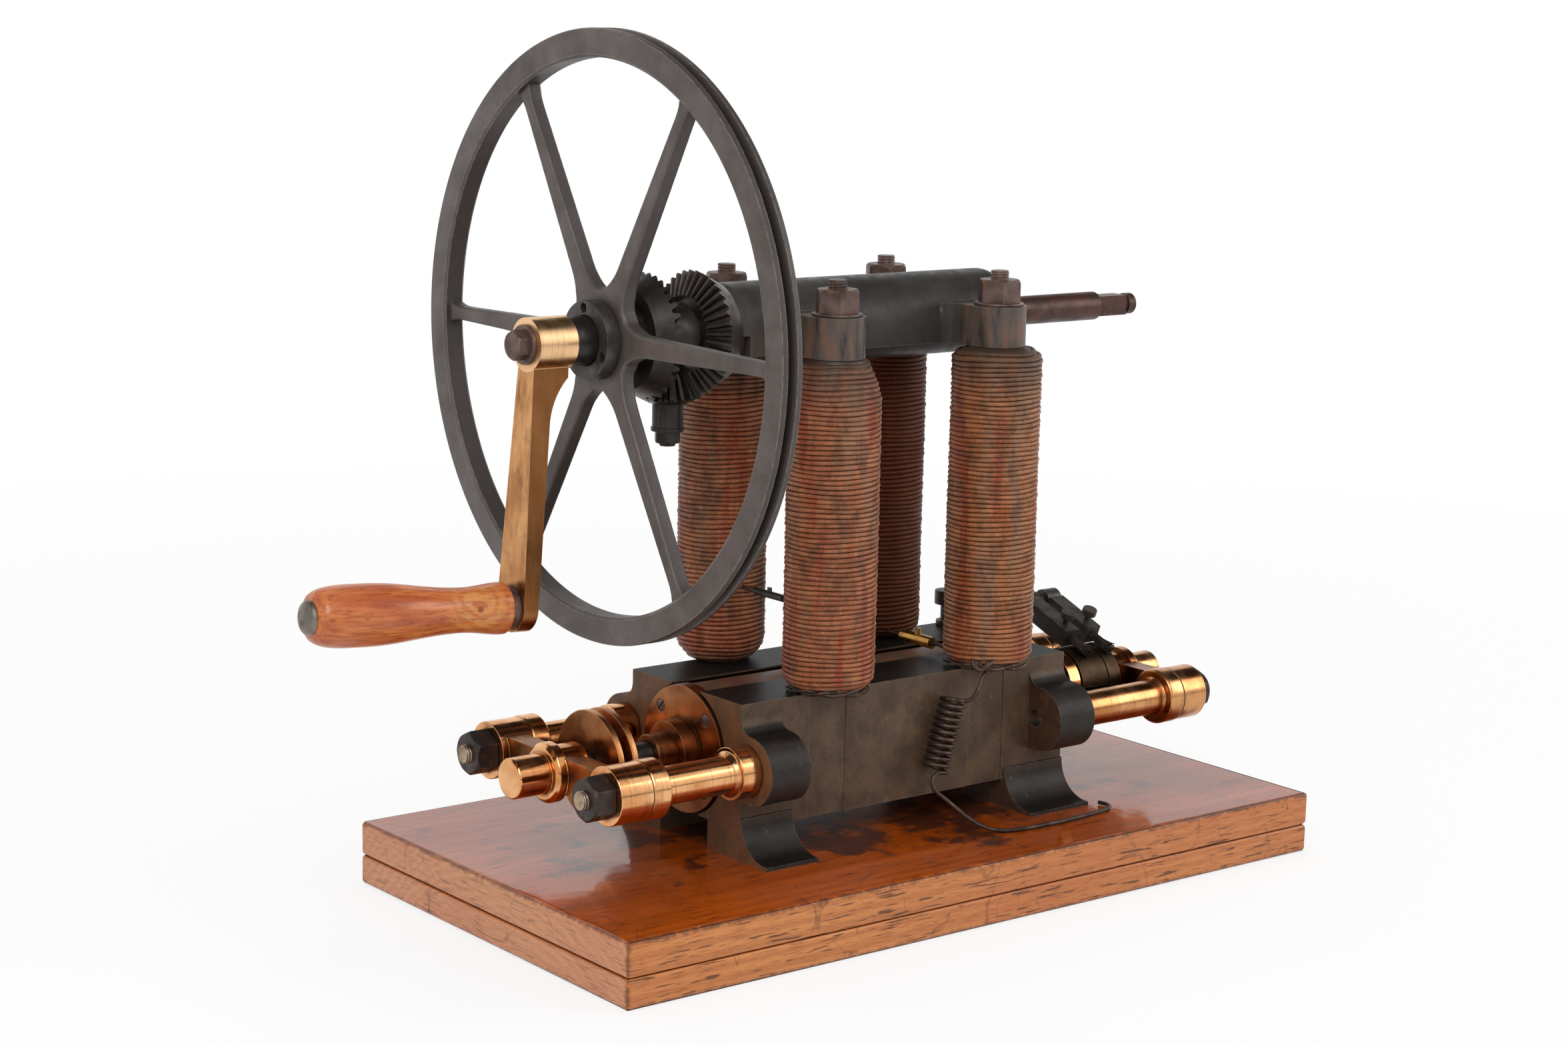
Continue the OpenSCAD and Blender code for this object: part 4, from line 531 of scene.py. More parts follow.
# Yoke: one iron casting, a barrel that is the crank shaft's bearing, with four lugs that sit on the coils' cores.
# It was blackened and oiled, and is browner on the lugs and towards the gears, where rust and dust gathered.
yoke_edge = 1.2 * mm
barrel_z = (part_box("crank_shaft")[0].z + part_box("crank_shaft")[1].z) / 2
gear_end_from, gear_end_to = -50 * mm, -100 * mm
lugs_from, lugs_to = 26 * mm, 40 * mm

# Blackened cast iron: nearly black and a little glossy with oil, sandy, with rust and dirt in runs down the lugs.
yoke_iron, tree, shader, where = new_finish("blackened_cast_iron")
x, y, z = add(tree, "SeparateXYZ", {0: where}).node.outputs
cloud = add(tree, "TexNoise", {"Vector": where, "Scale": 1 / (20 * mm), "Detail": 6, "Roughness": 0.6})
runs = add(tree, "TexNoise", {"Vector": add(tree, "Mapping", {0: where, "Scale": (1, 1, 0.2)}),
                              "Scale": 1 / (5 * mm), "Detail": 4})
sand = add(tree, "TexNoise", {"Vector": where, "Scale": 1 / (1.5 * mm), "Detail": 4})
share = add(tree, "MapRange", {0: cloud, 1: 0.35, 2: 0.65})
colour = add(tree, "Mix", {0: share, 6: "#3B3835", 7: "#2B2927"}, 2, data_type="RGBA")
outside = add(tree, "Math", {0: y}, operation="ABSOLUTE")
lugs = add(tree, "MapRange", {0: outside, 1: lugs_from, 2: lugs_to})
dusty = add(tree, "Math", {0: add(tree, "MapRange", {0: x, 1: gear_end_from, 2: gear_end_to}),
                           1: add(tree, "MapRange", {0: z, 1: barrel_z + 6 * mm, 2: barrel_z - 8 * mm,
                                                     3: 0.2, 4: 0.8})}, operation="MULTIPLY")
brown = add(tree, "Math", {0: dusty, 1: lugs}, operation="MAXIMUM")
brown = add(tree, "Math", {0: brown, 1: add(tree, "MapRange", {0: runs, 1: 0.36, 2: 0.6, 3: 0.55, 4: 0.95})},
            operation="MULTIPLY")
colour = add(tree, "Mix", {0: brown, 6: colour, 7: "#54463E"}, 2, data_type="RGBA")
for first, last, amount, tint in ((0.54, 0.64, 0.65, "#6E442C"), (0.46, 0.36, 0.7, "#271E19")):
    share = add(tree, "Math", {0: add(tree, "MapRange", {0: runs, 1: first, 2: last, 4: amount}), 1: lugs},
                operation="MULTIPLY")
    colour = add(tree, "Mix", {0: share, 6: colour, 7: tint}, 2, data_type="RGBA")
worn = add(tree, "Math", {0: at_edges(tree, 1.2 * mm),
                          1: add(tree, "MapRange", {0: sand, 1: 0.35, 2: 0.65, 3: 0.05, 4: 0.55})},
           operation="MULTIPLY")
colour = add(tree, "Mix", {0: worn, 6: colour, 7: "#746B64"}, 2, data_type="RGBA")
feed(tree, shader, {
    "Base Color": colour, "Roughness": add(tree, "MapRange", {0: runs, 1: 0.3, 2: 0.7, 3: 0.3, 4: 0.5}),
    "Specular IOR Level": add(tree, "MapRange", {0: brown, 3: 0.18, 4: 0.55}),
    "Normal": add(tree, "Bump", {"Height": sand, "Distance": 0.22 * mm, "Strength": 0.35})})
dress(rounded(copied("yoke"), yoke_edge), "frame", yoke_iron, "yoke")

# Washers and hexagon nuts on the core studs, which draw the yoke down on the cores.
# Plain steel: the nuts were chamfered by turning, and all have browned like the studs.
for fastener in ("yoke_washers", "yoke_nuts"):
    dress(rounded(copied(fastener), 0.5 * mm), "frame", browned_steel, fastener)

# Gear train: two large straight bevel gears face to face, with a small planet between them on the crank's carrier.
# Cut from iron and left bare: nearly black with old oil, and bright only along the crowns of the teeth.
tooth_edge = 0.18 * mm


def reopened(finish):
    """A finish's node tree, its shader and the socket of its colour, to paint over it."""
    tree = finish.node_tree
    shader = tree.nodes["Principled BSDF"]
    return tree, shader, shader.inputs["Base Color"].links[0].from_socket


# Oiled iron: almost black, with a soft shine. Cut iron: grey-brown where teeth rubbed, with painted shade in the gaps.
oiled_iron = aged_steel("oiled_iron", "#353230", "#252220", "#40352D", 0.6, 0.3, 0.5)
gear_iron = aged_steel("cut_iron", "#564D46", "#3A332F", "#5A4434", 0.6, 0.3, 0.48)
tree, shader, colour = reopened(gear_iron)
# Painted shade: the gaps between the teeth darken to nearly black where ambient occlusion finds them.
painted_gap_shade = add(tree, "AmbientOcclusion", {"Distance": 3 * mm}, "AO", samples=8)
share = add(tree, "MapRange", {0: painted_gap_shade, 1: 0.3, 2: 0.8, 3: 0.92, 4: 0})
feed(tree, shader, {"Base Color": add(tree, "Mix", {0: share, 6: colour, 7: "#0E0C0B"}, 2, data_type="RGBA")})
for part, body, slot, finish in (
        ("fixed_bevel_gear", "frame", "dark_cast_iron", gear_iron),
        ("wheel_bevel_gear", "wheel", "dark_cast_iron", oiled_iron),
        ("planet_gear", "planet", "dark_cast_iron", oiled_iron),
        ("planet_carrier", "crank", "dark_cast_iron", oiled_iron), ("planet_stud", "crank", "dark_steel", oiled_iron),
        ("planet_washer", "crank", "dark_steel", oiled_iron), ("planet_nut", "crank", "dark_steel", oiled_iron)):
    dress(rounded(copied(part), tooth_edge, 1), body, finish, part)

# Crank shaft: a steel bar through wheel and yoke, squared at both ends, with a turned button at the free end.
# The free end was handled often and has rusted to an even red-brown skin.
# Rusted steel: a fine even rust, dull and red-brown.
rusted_steel = aged_steel("rusted_steel", "#4F2F26", "#38221C", "#5C3626", 0.4, 0.36, 0.5)
dress(rounded(copied("crank_shaft"), 0.5 * mm), "crank", rusted_steel, "crank_shaft")

# Drive wheel: one iron casting of a grooved rim, six tapered spokes and a hub, loose on the crank shaft.
# The spokes swell where they meet rim and hub, and the sand of the mould rounded every corner.
wheel_low, wheel_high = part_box("drive_wheel")
wheel_axis = (wheel_low + wheel_high) / 2
wheel_r = (wheel_high.z - wheel_low.z) / 2
rim_front = wheel_low.x
rim_w = 12 * mm
rim_t = 14 * mm
groove_w = 5 * mm
groove_h = 5 * mm
hub_r = 25 * mm
hub_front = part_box("hub_ring")[1].x
hub_back = wheel_high.x
seat_r = 18 * mm
shaft_bore = 8.05 * mm
spoke_t = 8 * mm
spoke_in_w = 11 * mm
spoke_out_w = 6.5 * mm
spoke_swell = 3.4 * mm
spoke_rings = 40
spokes = 6
cast_round = 1.3 * mm

rim_in = wheel_r - rim_t
rim_back = rim_front + rim_w
rim_mid = (rim_front + rim_back) / 2
rim = turned("drive_wheel_cast", [
    (rim_in, rim_front + cast_round), (rim_in + cast_round, rim_front),
    (wheel_r - cast_round, rim_front), (wheel_r - 0.3 * cast_round, rim_front + 0.3 * cast_round),
    (wheel_r, rim_front + cast_round), (wheel_r, rim_mid - groove_w / 2 - 0.3 * mm),
    (wheel_r - 0.5 * mm, rim_mid - groove_w / 2), (wheel_r - groove_h, rim_mid - groove_w / 4),
    (wheel_r - groove_h - 0.6 * mm, rim_mid), (wheel_r - groove_h, rim_mid + groove_w / 4),
    (wheel_r - 0.5 * mm, rim_mid + groove_w / 2), (wheel_r, rim_mid + groove_w / 2 + 0.3 * mm),
    (wheel_r, rim_back - cast_round), (wheel_r - 0.3 * cast_round, rim_back - 0.3 * cast_round),
    (wheel_r - cast_round, rim_back), (rim_in + cast_round, rim_back), (rim_in, rim_back - cast_round)],
    wheel_axis, (1, 0, 0), steps=192)

hub_disc_back = hub_front + spoke_t + 1 * mm
spider = turned("wheel_spider", [
    (shaft_bore, hub_front), (hub_r - cast_round, hub_front), (hub_r, hub_front + cast_round),
    (hub_r, hub_disc_back - cast_round), (hub_r - cast_round, hub_disc_back),
    (seat_r + 1.5 * mm, hub_disc_back), (seat_r, hub_disc_back + 1.5 * mm), (seat_r, hub_back), (shaft_bore, hub_back)],
    wheel_axis, (1, 0, 0), steps=96)


def united(piece, other):
    """Adds the other solid to the piece and removes it."""
    union = piece.modifiers.new("union", "BOOLEAN")
    union.operation = "UNION"
    union.solver = "EXACT"
    union.object = other
    pick(piece)
    bpy.ops.object.modifier_apply(modifier="union")
    bpy.data.objects.remove(other)
    return piece


spoke_from, spoke_to = 0.6 * hub_r, rim_in + 1.5 * mm
for i in range(spokes):
    bpy.ops.object.select_all(action="DESELECT")
    bpy.ops.mesh.primitive_cube_add(
        size=1, location=(hub_front + spoke_t / 2, (spoke_from + spoke_to) / 2, wheel_axis.z),
        scale=(spoke_t, spoke_to - spoke_from, spoke_in_w))
    spoke = bpy.context.object
    bpy.ops.object.transform_apply(location=True, rotation=True, scale=True)
    spots = [v.co.copy() for v in spoke.data.vertices]
    choose_edges(spoke, [abs(spots[e.vertices[0]].y - spots[e.vertices[1]].y) > 2 * spoke_t for e in spoke.data.edges])
    bpy.ops.mesh.subdivide(number_cuts=spoke_rings)
    bpy.ops.object.mode_set(mode="OBJECT")
    for v in spoke.data.vertices:
        share = (v.co.y - hub_r) / (rim_in - hub_r)
        near_hub = max(0.0, 1 - (v.co.y - hub_r) / (0.55 * hub_r))
        near_rim = max(0.0, 1 - (rim_in - v.co.y) / (0.4 * hub_r))
        width = spoke_in_w + (spoke_out_w - spoke_in_w) * share
        width += 2 * spoke_swell * (near_hub ** 2 + 0.7 * near_rim ** 2)
        v.co.z = wheel_axis.z + math.copysign(width / 2, v.co.z - wheel_axis.z)
    corner = spoke.modifiers.new("corner", "BEVEL")
    corner.width = 0.8 * cast_round
    corner.segments = 2
    corner.angle_limit = math.radians(50)
    bpy.ops.object.modifier_apply(modifier="corner")
    bpy.ops.transform.rotate(value=math.tau * i / spokes, orient_axis="X",
                             center_override=(0, wheel_axis.y, wheel_axis.z))
    bpy.ops.object.transform_apply(location=True, rotation=True, scale=True)
    united(spider, spoke)

pick(spider)
skin = spider.modifiers.new("skin", "REMESH")
skin.mode = "VOXEL"
skin.voxel_size = 0.85 * mm
bpy.ops.object.modifier_apply(modifier="skin")
melt = spider.modifiers.new("melt", "SMOOTH")
melt.factor = 0.5
melt.iterations = 5
bpy.ops.object.modifier_apply(modifier="melt")
wheel = united(rim, spider)
pick(wheel)
bpy.ops.object.shade_smooth_by_angle(angle=math.radians(40))

# Bare cast iron, wiped with oil for a century: dark brown-grey, sandy to the touch, greyer where hands rubbed it.
wheel_iron, tree, shader, where = new_finish("oiled_cast_iron")
cloud = add(tree, "TexNoise", {"Vector": where, "Scale": 1 / (24 * mm), "Detail": 6, "Roughness": 0.62})
pits = add(tree, "TexNoise", {"Vector": where, "Scale": 1 / (3.5 * mm), "Detail": 4})
sand = add(tree, "TexNoise", {"Vector": where, "Scale": 1 / (1.5 * mm), "Detail": 5, "Roughness": 0.6})
share = add(tree, "MapRange", {0: cloud, 1: 0.33, 2: 0.66})
colour = add(tree, "Mix", {0: share, 6: "#5B524F", 7: "#473F3B"}, 2, data_type="RGBA")
share = add(tree, "MapRange", {0: pits, 1: 0.57, 2: 0.72, 4: 0.6})
colour = add(tree, "Mix", {0: share, 6: colour, 7: "#4E3A2F"}, 2, data_type="RGBA")
share = add(tree, "MapRange", {0: sand, 1: 0.55, 2: 0.75, 4: 0.5})
colour = add(tree, "Mix", {0: share, 6: colour, 7: "#625853"}, 2, data_type="RGBA")
# Painted shade: the sides of the spokes and the inside of the rim, which face away from the axis, are darker.
axial = add(tree, "SeparateXYZ", {0: add(tree, "TexCoord", {}, "Normal")})
axial = add(tree, "Math", {0: axial}, operation="ABSOLUTE")
share = add(tree, "MapRange", {0: axial, 1: 0.75, 2: 0.35, 4: 0.6})
colour = add(tree, "Mix", {0: share, 6: colour, 7: "#322E2B"}, 2, data_type="RGBA")
worn = add(tree, "Math", {0: at_edges(tree, 1 * mm, 0.997),
                          1: add(tree, "MapRange", {0: pits, 1: 0.4, 2: 0.6, 3: 0.15, 4: 0.8})}, operation="MULTIPLY")
colour = add(tree, "Mix", {0: worn, 6: colour, 7: "#8E847C"}, 2, data_type="RGBA")
# Painted shade: the corners between spokes, hub and rim darken where ambient occlusion finds them.
painted_crevice_shade = add(tree, "AmbientOcclusion", {"Distance": 8 * mm}, "AO", samples=8)
share = add(tree, "MapRange", {0: painted_crevice_shade, 1: 0.35, 2: 0.86, 3: 0.85, 4: 0})
colour = add(tree, "Mix", {0: share, 6: colour, 7: "#1E1A18"}, 2, data_type="RGBA")
feed(tree, shader, {
    "Metallic": 0.15, "Base Color": colour,
    "Roughness": add(tree, "MapRange", {0: cloud, 1: 0.3, 2: 0.7, 3: 0.4, 4: 0.56}),
    "Normal": add(tree, "Bump", {"Height": sand, "Distance": 0.3 * mm, "Strength": 0.4})})
dress(wheel, "wheel", wheel_iron, "drive_wheel")

# Hub ring: an iron ring with three spanner holes, screwed on the wheel's hub over its shoulder.
# A turned steel collar before it keeps the wheel on its shaft. Both are dark with oil and dust.
# Dusty steel: dark grey, and dull where dust stuck to the oil.
dusty_steel = aged_steel("dusty_steel", "#4C4742", "#35312D", "#51453A", 0.5, 0.38, 0.56)
dress(rounded(copied("hub_ring"), 0.6 * mm), "wheel", dusty_steel, "hub_ring")
dress(rounded(copied("shaft_collar"), 0.5 * mm), "crank", oiled_iron, "shaft_collar")

# Crank arm: cast bronze, a boss on the shaft's square and a flat arm that leans out and widens to the handle.
# Filed and polished by hand; the marks run along the arm.
arm_edge = 0.9 * mm
boss_r = 13 * mm


def aged_bronze(name, clean, warm, tarnish, marks, smooth, rough):
    """Polished bronze under old lacquer: bright metal, warmer and duller patches, and brown tarnish in the corners."""
    # The file or tool marks are drawn 0.8 mm apart, coarser than real ones, so that they show.
    finish, tree, shader, where = new_finish(name)
    cloud = add(tree, "TexNoise", {"Vector": where, "Scale": 1 / (24 * mm), "Detail": 4})
    stains = add(tree, "TexNoise", {"Vector": where, "Scale": 1 / (9 * mm), "Detail": 5, "Roughness": 0.55})
    lines = add(tree, "TexNoise", {"Vector": add(tree, "Mapping", {0: where, "Scale": marks}),
                                   "Scale": 1 / (0.8 * mm), "Detail": 3})
    share = add(tree, "MapRange", {0: cloud, 1: 0.4, 2: 0.64})
    colour = add(tree, "Mix", {0: share, 6: clean, 7: warm}, 2, data_type="RGBA")
    share = add(tree, "MapRange", {0: lines, 1: 0.48, 2: 0.72, 4: 0.45})
    colour = add(tree, "Mix", {0: share, 6: colour, 7: warm}, 2, data_type="RGBA")
    share = add(tree, "MapRange", {0: lines, 1: 0.6, 2: 0.7, 4: 0.4})
    colour = add(tree, "Mix", {0: share, 6: colour, 7: tarnish}, 2, data_type="RGBA")
    share = add(tree, "MapRange", {0: stains, 1: 0.56, 2: 0.74, 4: 0.4})
    colour = add(tree, "Mix", {0: share, 6: colour, 7: tarnish}, 2, data_type="RGBA")
    share = at_edges(tree, 0.7 * mm, last=0.94, most=0.7)
    colour = add(tree, "Mix", {0: share, 6: colour, 7: clean}, 2, data_type="RGBA")
    corner = add(tree, "AmbientOcclusion", {"Distance": 3 * mm}, "AO", samples=8)
    corner = add(tree, "Math", {0: add(tree, "MapRange", {0: corner, 1: 0.55, 2: 0.92, 3: 1, 4: 0}),
                                1: add(tree, "MapRange", {0: stains, 1: 0.3, 2: 0.6, 3: 0.7, 4: 1})},
                 operation="MULTIPLY")
    dull = add(tree, "Math", {0: add(tree, "MapRange", {0: stains, 1: 0.4, 2: 0.72, 3: smooth, 4: rough}),
                              1: add(tree, "MapRange", {0: corner, 4: 0.2})})
    feed(tree, shader, {
        "Metallic": 1.0, "Base Color": add(tree, "Mix", {0: corner, 6: colour, 7: tarnish}, 2, data_type="RGBA"),
        "Roughness": dull, "Normal": add(tree, "Bump", {"Height": lines, "Distance": 0.02 * mm, "Strength": 0.25})})
    return finish


# Filed bronze: golden, satin and streaky along the arm.
arm_bronze = aged_bronze("filed_bronze", "#D09A66", "#AE7647", "#6A4026", (1, 1, 0.04), 0.26, 0.38)
# The narrow sides are painted darker brown, as shade, and the turned boss is the brightest place.
tree, shader, colour = reopened(arm_bronze)
crossways = add(tree, "SeparateXYZ", {0: add(tree, "TexCoord", {}, "Normal")}, 1)
where = add(tree, "TexCoord", {}, "Object")
streaks = add(tree, "TexNoise", {"Vector": add(tree, "Mapping", {0: where, "Scale": (1, 1, 0.2)}),
                                 "Scale": 1 / (7 * mm), "Detail": 5, "Roughness": 0.6})
share = add(tree, "MapRange", {0: streaks, 1: 0.5, 2: 0.64, 4: 0.55})
colour = add(tree, "Mix", {0: share, 6: colour, 7: "#8E5C38"}, 2, data_type="RGBA")
share = add(tree, "MapRange", {0: streaks, 1: 0.47, 2: 0.36, 4: 0.6})
colour = add(tree, "Mix", {0: share, 6: colour, 7: "#DCB074"}, 2, data_type="RGBA")
rings = add(tree, "TexNoise", {"Vector": add(tree, "Mapping", {0: where, "Scale": (1, 0.03, 0.03)}),
                               "Scale": 1 / (0.8 * mm), "Detail": 3})
share = add(tree, "MapRange", {0: rings, 1: 0.46, 2: 0.7, 4: 0.5})
bright = add(tree, "Mix", {0: share, 6: "#F2C898", 7: "#C08A58"}, 2, data_type="RGBA")
boss = add(tree, "VectorMath", {0: where, 1: wheel_axis}, operation="SUBTRACT")
boss = add(tree, "VectorMath", {0: boss, 1: (0, 1, 1)}, operation="MULTIPLY")
boss = add(tree, "VectorMath", {0: boss}, "Value", operation="LENGTH")
boss = add(tree, "MapRange", {0: boss, 1: boss_r + 0.4 * mm, 2: boss_r + 0.1 * mm})
colour = add(tree, "Mix", {0: add(tree, "MapRange", {0: boss, 4: 0.92}), 6: colour, 7: bright}, 2, data_type="RGBA")
# Painted shade: the arm's narrow sides below the boss are darkened to brown.
side = add(tree, "Math", {0: crossways}, operation="ABSOLUTE")
side = add(tree, "Math", {0: add(tree, "MapRange", {0: side, 1: 0.6, 2: 0.95, 4: 0.75}),
                          1: add(tree, "MapRange", {0: boss, 3: 1, 4: 0})}, operation="MULTIPLY")
feed(tree, shader, {"Base Color": add(tree, "Mix", {0: side, 6: colour, 7: "#7E4E2A"}, 2, data_type="RGBA")})
feed(tree, shader.inputs["Normal"].links[0].from_node, {"Strength": add(tree, "MapRange", {0: boss, 3: 0.25, 4: 0})})
dress(rounded(copied("crank_arm"), arm_edge, 3), "crank", arm_bronze, "crank_arm")

# Washer and bolt that hold the crank on the squared end of its shaft.
# Browned steel, turned; the bolt's hexagon head is chamfered.
for fastener in ("crank_washer", "crank_bolt"):
    dress(rounded(copied(fastener), 0.4 * mm), "crank", browned_steel, fastener)

# Handle: a steel spindle riveted over at the tip, a steel ferrule, and a turned grip that is free to spin.
# The grip is beech, stained orange-red and varnished, with a knot by the ferrule and the polish of many hands.
grip_start = Vector((-216.5157, 0, 167.2857)) * mm
lean = math.radians(4)
grip_along = Vector((-math.cos(lean), 0, math.sin(lean)))
ferrule_t = 5.3 * mm
grip_l = 105 * mm
grip_r = 15 * mm
grip_flare_r, grip_neck_r, grip_tip_r = 12.75 * mm, 10.95 * mm, 8.5 * mm
grip_neck_at, grip_belly_at = 0.22, 0.72
spindle_bore = 4.55 * mm
knot_spot = (-0.024, -0.011, 0.002)


def eased(first, last, share):
    """A value that goes smoothly from first to last."""
    return first + (last - first) * (1 - math.cos(math.pi * share)) / 2


def grip_radius(share):
    """Radius of the grip along its length: a flared foot, a neck, a full belly and a rounded end."""
    if share < grip_neck_at:
        return eased(grip_flare_r, grip_neck_r, share / grip_neck_at)
    if share < grip_belly_at:
        return eased(grip_neck_r, grip_r, (share - grip_neck_at) / (grip_belly_at - grip_neck_at))
    return grip_tip_r + (grip_r - grip_tip_r) * math.sqrt(1 - ((share - grip_belly_at) / (1 - grip_belly_at)) ** 4)


grip_foot = grip_start.dot(grip_along) + ferrule_t
grip_steps = 56
grip = turned("handle_grip_turned",
              [(spindle_bore, grip_foot), (grip_flare_r - 0.6 * mm, grip_foot),
               (grip_flare_r - 0.1 * mm, grip_foot + 0.4 * mm)]
              + [(grip_radius(i / grip_steps), grip_foot + grip_l * i / grip_steps) for i in range(1, grip_steps + 1)]
              + [(spindle_bore, grip_foot + grip_l)], grip_start, grip_along, steps=72)

# Beech under a red spirit varnish: soft bands and short dark flecks along the grip, a golden swirl round the knot.
beech, tree, shader, where = new_finish("varnished_beech")
along = add(tree, "Mapping", {0: where, "Location": -(Matrix.Rotation(-lean, 3, "Y") @ grip_start),
                              "Rotation": (0, -lean, 0)})
bands = add(tree, "TexNoise", {"Vector": add(tree, "Mapping", {0: along, "Scale": (0.15, 1, 1)}),
                               "Scale": 1 / (7 * mm), "Detail": 4, "Distortion": 0.6})
grain = add(tree, "TexNoise", {"Vector": add(tree, "Mapping", {0: along, "Scale": (0.06, 1, 1)}),
                               "Scale": 1 / (1.5 * mm), "Detail": 4})
flecks = add(tree, "TexNoise", {"Vector": add(tree, "Mapping", {0: along, "Scale": (0.15, 1, 1)}),
                                "Scale": 1 / (0.9 * mm), "Detail": 2})
share = add(tree, "MapRange", {0: bands, 1: 0.36, 2: 0.64})
colour = add(tree, "Mix", {0: share, 6: "#CC7840", 7: "#AC5226"}, 2, data_type="RGBA")
share = add(tree, "MapRange", {0: grain, 1: 0.46, 2: 0.64, 4: 0.6})
colour = add(tree, "Mix", {0: share, 6: colour, 7: "#8E3F21"}, 2, data_type="RGBA")
knot = add(tree, "VectorMath", {0: along, 1: knot_spot}, operation="SUBTRACT")
knot_far = add(tree, "VectorMath", {0: knot}, "Value", operation="LENGTH")
swirl = add(tree, "TexWave", {"Vector": knot, "Scale": math.pi / (10 * 7 * mm), "Distortion": 16, "Detail": 2,
                              "Detail Scale": 0.9}, "Fac", wave_type="RINGS", rings_direction="Y")
golden = add(tree, "Math", {0: add(tree, "MapRange", {0: knot_far, 1: 0.02, 2: 0.008, 4: 0.55}),
                            1: add(tree, "MapRange", {0: swirl, 1: 0.3, 2: 0.65, 3: 0.15, 4: 1})}, operation="MULTIPLY")
colour = add(tree, "Mix", {0: golden, 6: colour, 7: "#D39A56"}, 2, data_type="RGBA")
share = add(tree, "MapRange", {0: knot_far, 1: 2 * mm, 2: 1 * mm, 4: 0.7})
colour = add(tree, "Mix", {0: share, 6: colour, 7: "#5A2A14"}, 2, data_type="RGBA")
share = add(tree, "MapRange", {0: flecks, 1: 0.6, 2: 0.7, 4: 0.6})
colour = add(tree, "Mix", {0: share, 6: colour, 7: "#6A2C14"}, 2, data_type="RGBA")
feed(tree, shader, {
    "Base Color": colour, "Coat Weight": 0.4, "Coat Roughness": 0.18, "Specular IOR Level": 0.3,
    "Roughness": add(tree, "MapRange", {0: bands, 1: 0.3, 2: 0.7, 3: 0.32, 4: 0.48}),
    "Normal": add(tree, "Bump", {"Height": flecks, "Distance": 0.15 * mm, "Strength": 0.3})})
dress(grip, "grip", beech, "handle_grip")

# Worn steel: pale grey and bright, kept so by the palm.
worn_steel = aged_steel("worn_steel", "#8D857B", "#6F675E", "#5E4B3C", 0.85, 0.3, 0.48)
dress(rounded(copied("handle_spindle"), 0.6 * mm), "crank", worn_steel, "handle_spindle")
dress(rounded(copied("handle_ferrule"), 0.5 * mm), "crank", browned_steel, "handle_ferrule")

# Armature: an iron shuttle of H section on a steel shaft, its two channels filled with wire laid lengthwise.
# A bronze disc closes each end, held by four slotted screws.
axle_z = (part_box("armature_shaft")[0].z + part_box("armature_shaft")[1].z) / 2
# Oiled steel: turned, dark grey with a clear shine.
dark_axle = aged_steel("oiled_steel", "#4A4643", "#302C2A", "#46372C", 0.8, 0.28, 0.46)
dress(rounded(copied("armature_shaft"), 0.4 * mm), "armature", dark_axle, "armature_shaft")
dress(rounded(copied("armature_core"), 0.4 * mm), "armature", yoke_iron, "armature_core")

laid_wire_r = 1.15 * mm
laid_wires = 13
laid_reach = math.radians(29)
winding_low, winding_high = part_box("armature_winding")
laid_at = (winding_high.z - winding_low.z) / 2 - laid_wire_r
laid = [rounded(copied("armature_winding"), 0.6 * mm)]
for side in (0, math.pi):
    for i in range(laid_wires):
        angle = side + laid_reach * (2 * i / (laid_wires - 1) - 1)
        reach = laid_at - 0.12 * mm * (1 + math.sin(i * 2.4 + side))
        first, last = winding_low.x + laid_wire_r, winding_high.x - laid_wire_r
        laid.append(tube("laid_wire", [(first + (last - first) * k / 12, reach * math.sin(angle),
                                        axle_z + reach * math.cos(angle)) for k in range(13)], laid_wire_r))
winding = joined(*laid)
winding.name = "armature_wire"
dress(winding, "armature", cotton, "armature_winding")

# The discs were never polished again and are copper-brown under the dirt; the belt kept the pulley brighter.
dull_bronze = aged_bronze("tarnished_bronze", "#A87348", "#7A4A2A", "#2E1B10", (1, 0.03, 0.03), 0.28, 0.46)
for part in ("end_disc_front", "end_disc_rear"):
    dress(rounded(copied(part), 0.5 * mm), "armature", dull_bronze, part)

worn_bronze = aged_bronze("worn_bronze", "#C48A58", "#945C36", "#3A2214", (1, 0.03, 0.03), 0.26, 0.42)
dress(rounded(copied("pulley"), 0.5 * mm), "armature", worn_bronze, "pulley")

slot_w = 0.9 * mm
slot_depth = 0.8 * mm
screw_at = 27 * mm
screw_r = 3.2 * mm
disc_screws = rounded(copied("end_disc_screws"), 0.25 * mm)
screw_low, screw_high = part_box("end_disc_screws")
for face in (screw_low.x, screw_high.x):
    for i in range(4):
        angle = math.tau * (i + 0.5) / 4
        bpy.ops.object.select_all(action="DESELECT")
        bpy.ops.mesh.primitive_cube_add(
            size=1, location=(face, screw_at * math.sin(angle), axle_z + screw_at * math.cos(angle)),
            rotation=(0.7 + 1.3 * i, 0, 0), scale=(2 * slot_depth, slot_w, 3 * screw_r))
        cutter = bpy.context.object
        bpy.ops.object.transform_apply(location=True, rotation=True, scale=True)
        cut = disc_screws.modifiers.new("slot", "BOOLEAN")
        cut.operation = "DIFFERENCE"
        cut.object = cutter
        pick(disc_screws)
        bpy.ops.object.modifier_apply(modifier="slot")
        bpy.data.objects.remove(cutter)
dress(disc_screws, "armature", browned_steel, "end_disc_screws")

# Pillars and bearing bridges: four turned bronze pillars screwed into the lugs, and two cast bridges across them.
# Each bridge ends in a closed bearing for the armature shaft; its arms are dull, its turned ends bright, and the
# lacquer on the rear pair is duller than on the front pair.
arm_from, arm_to = 15 * mm, 40 * mm
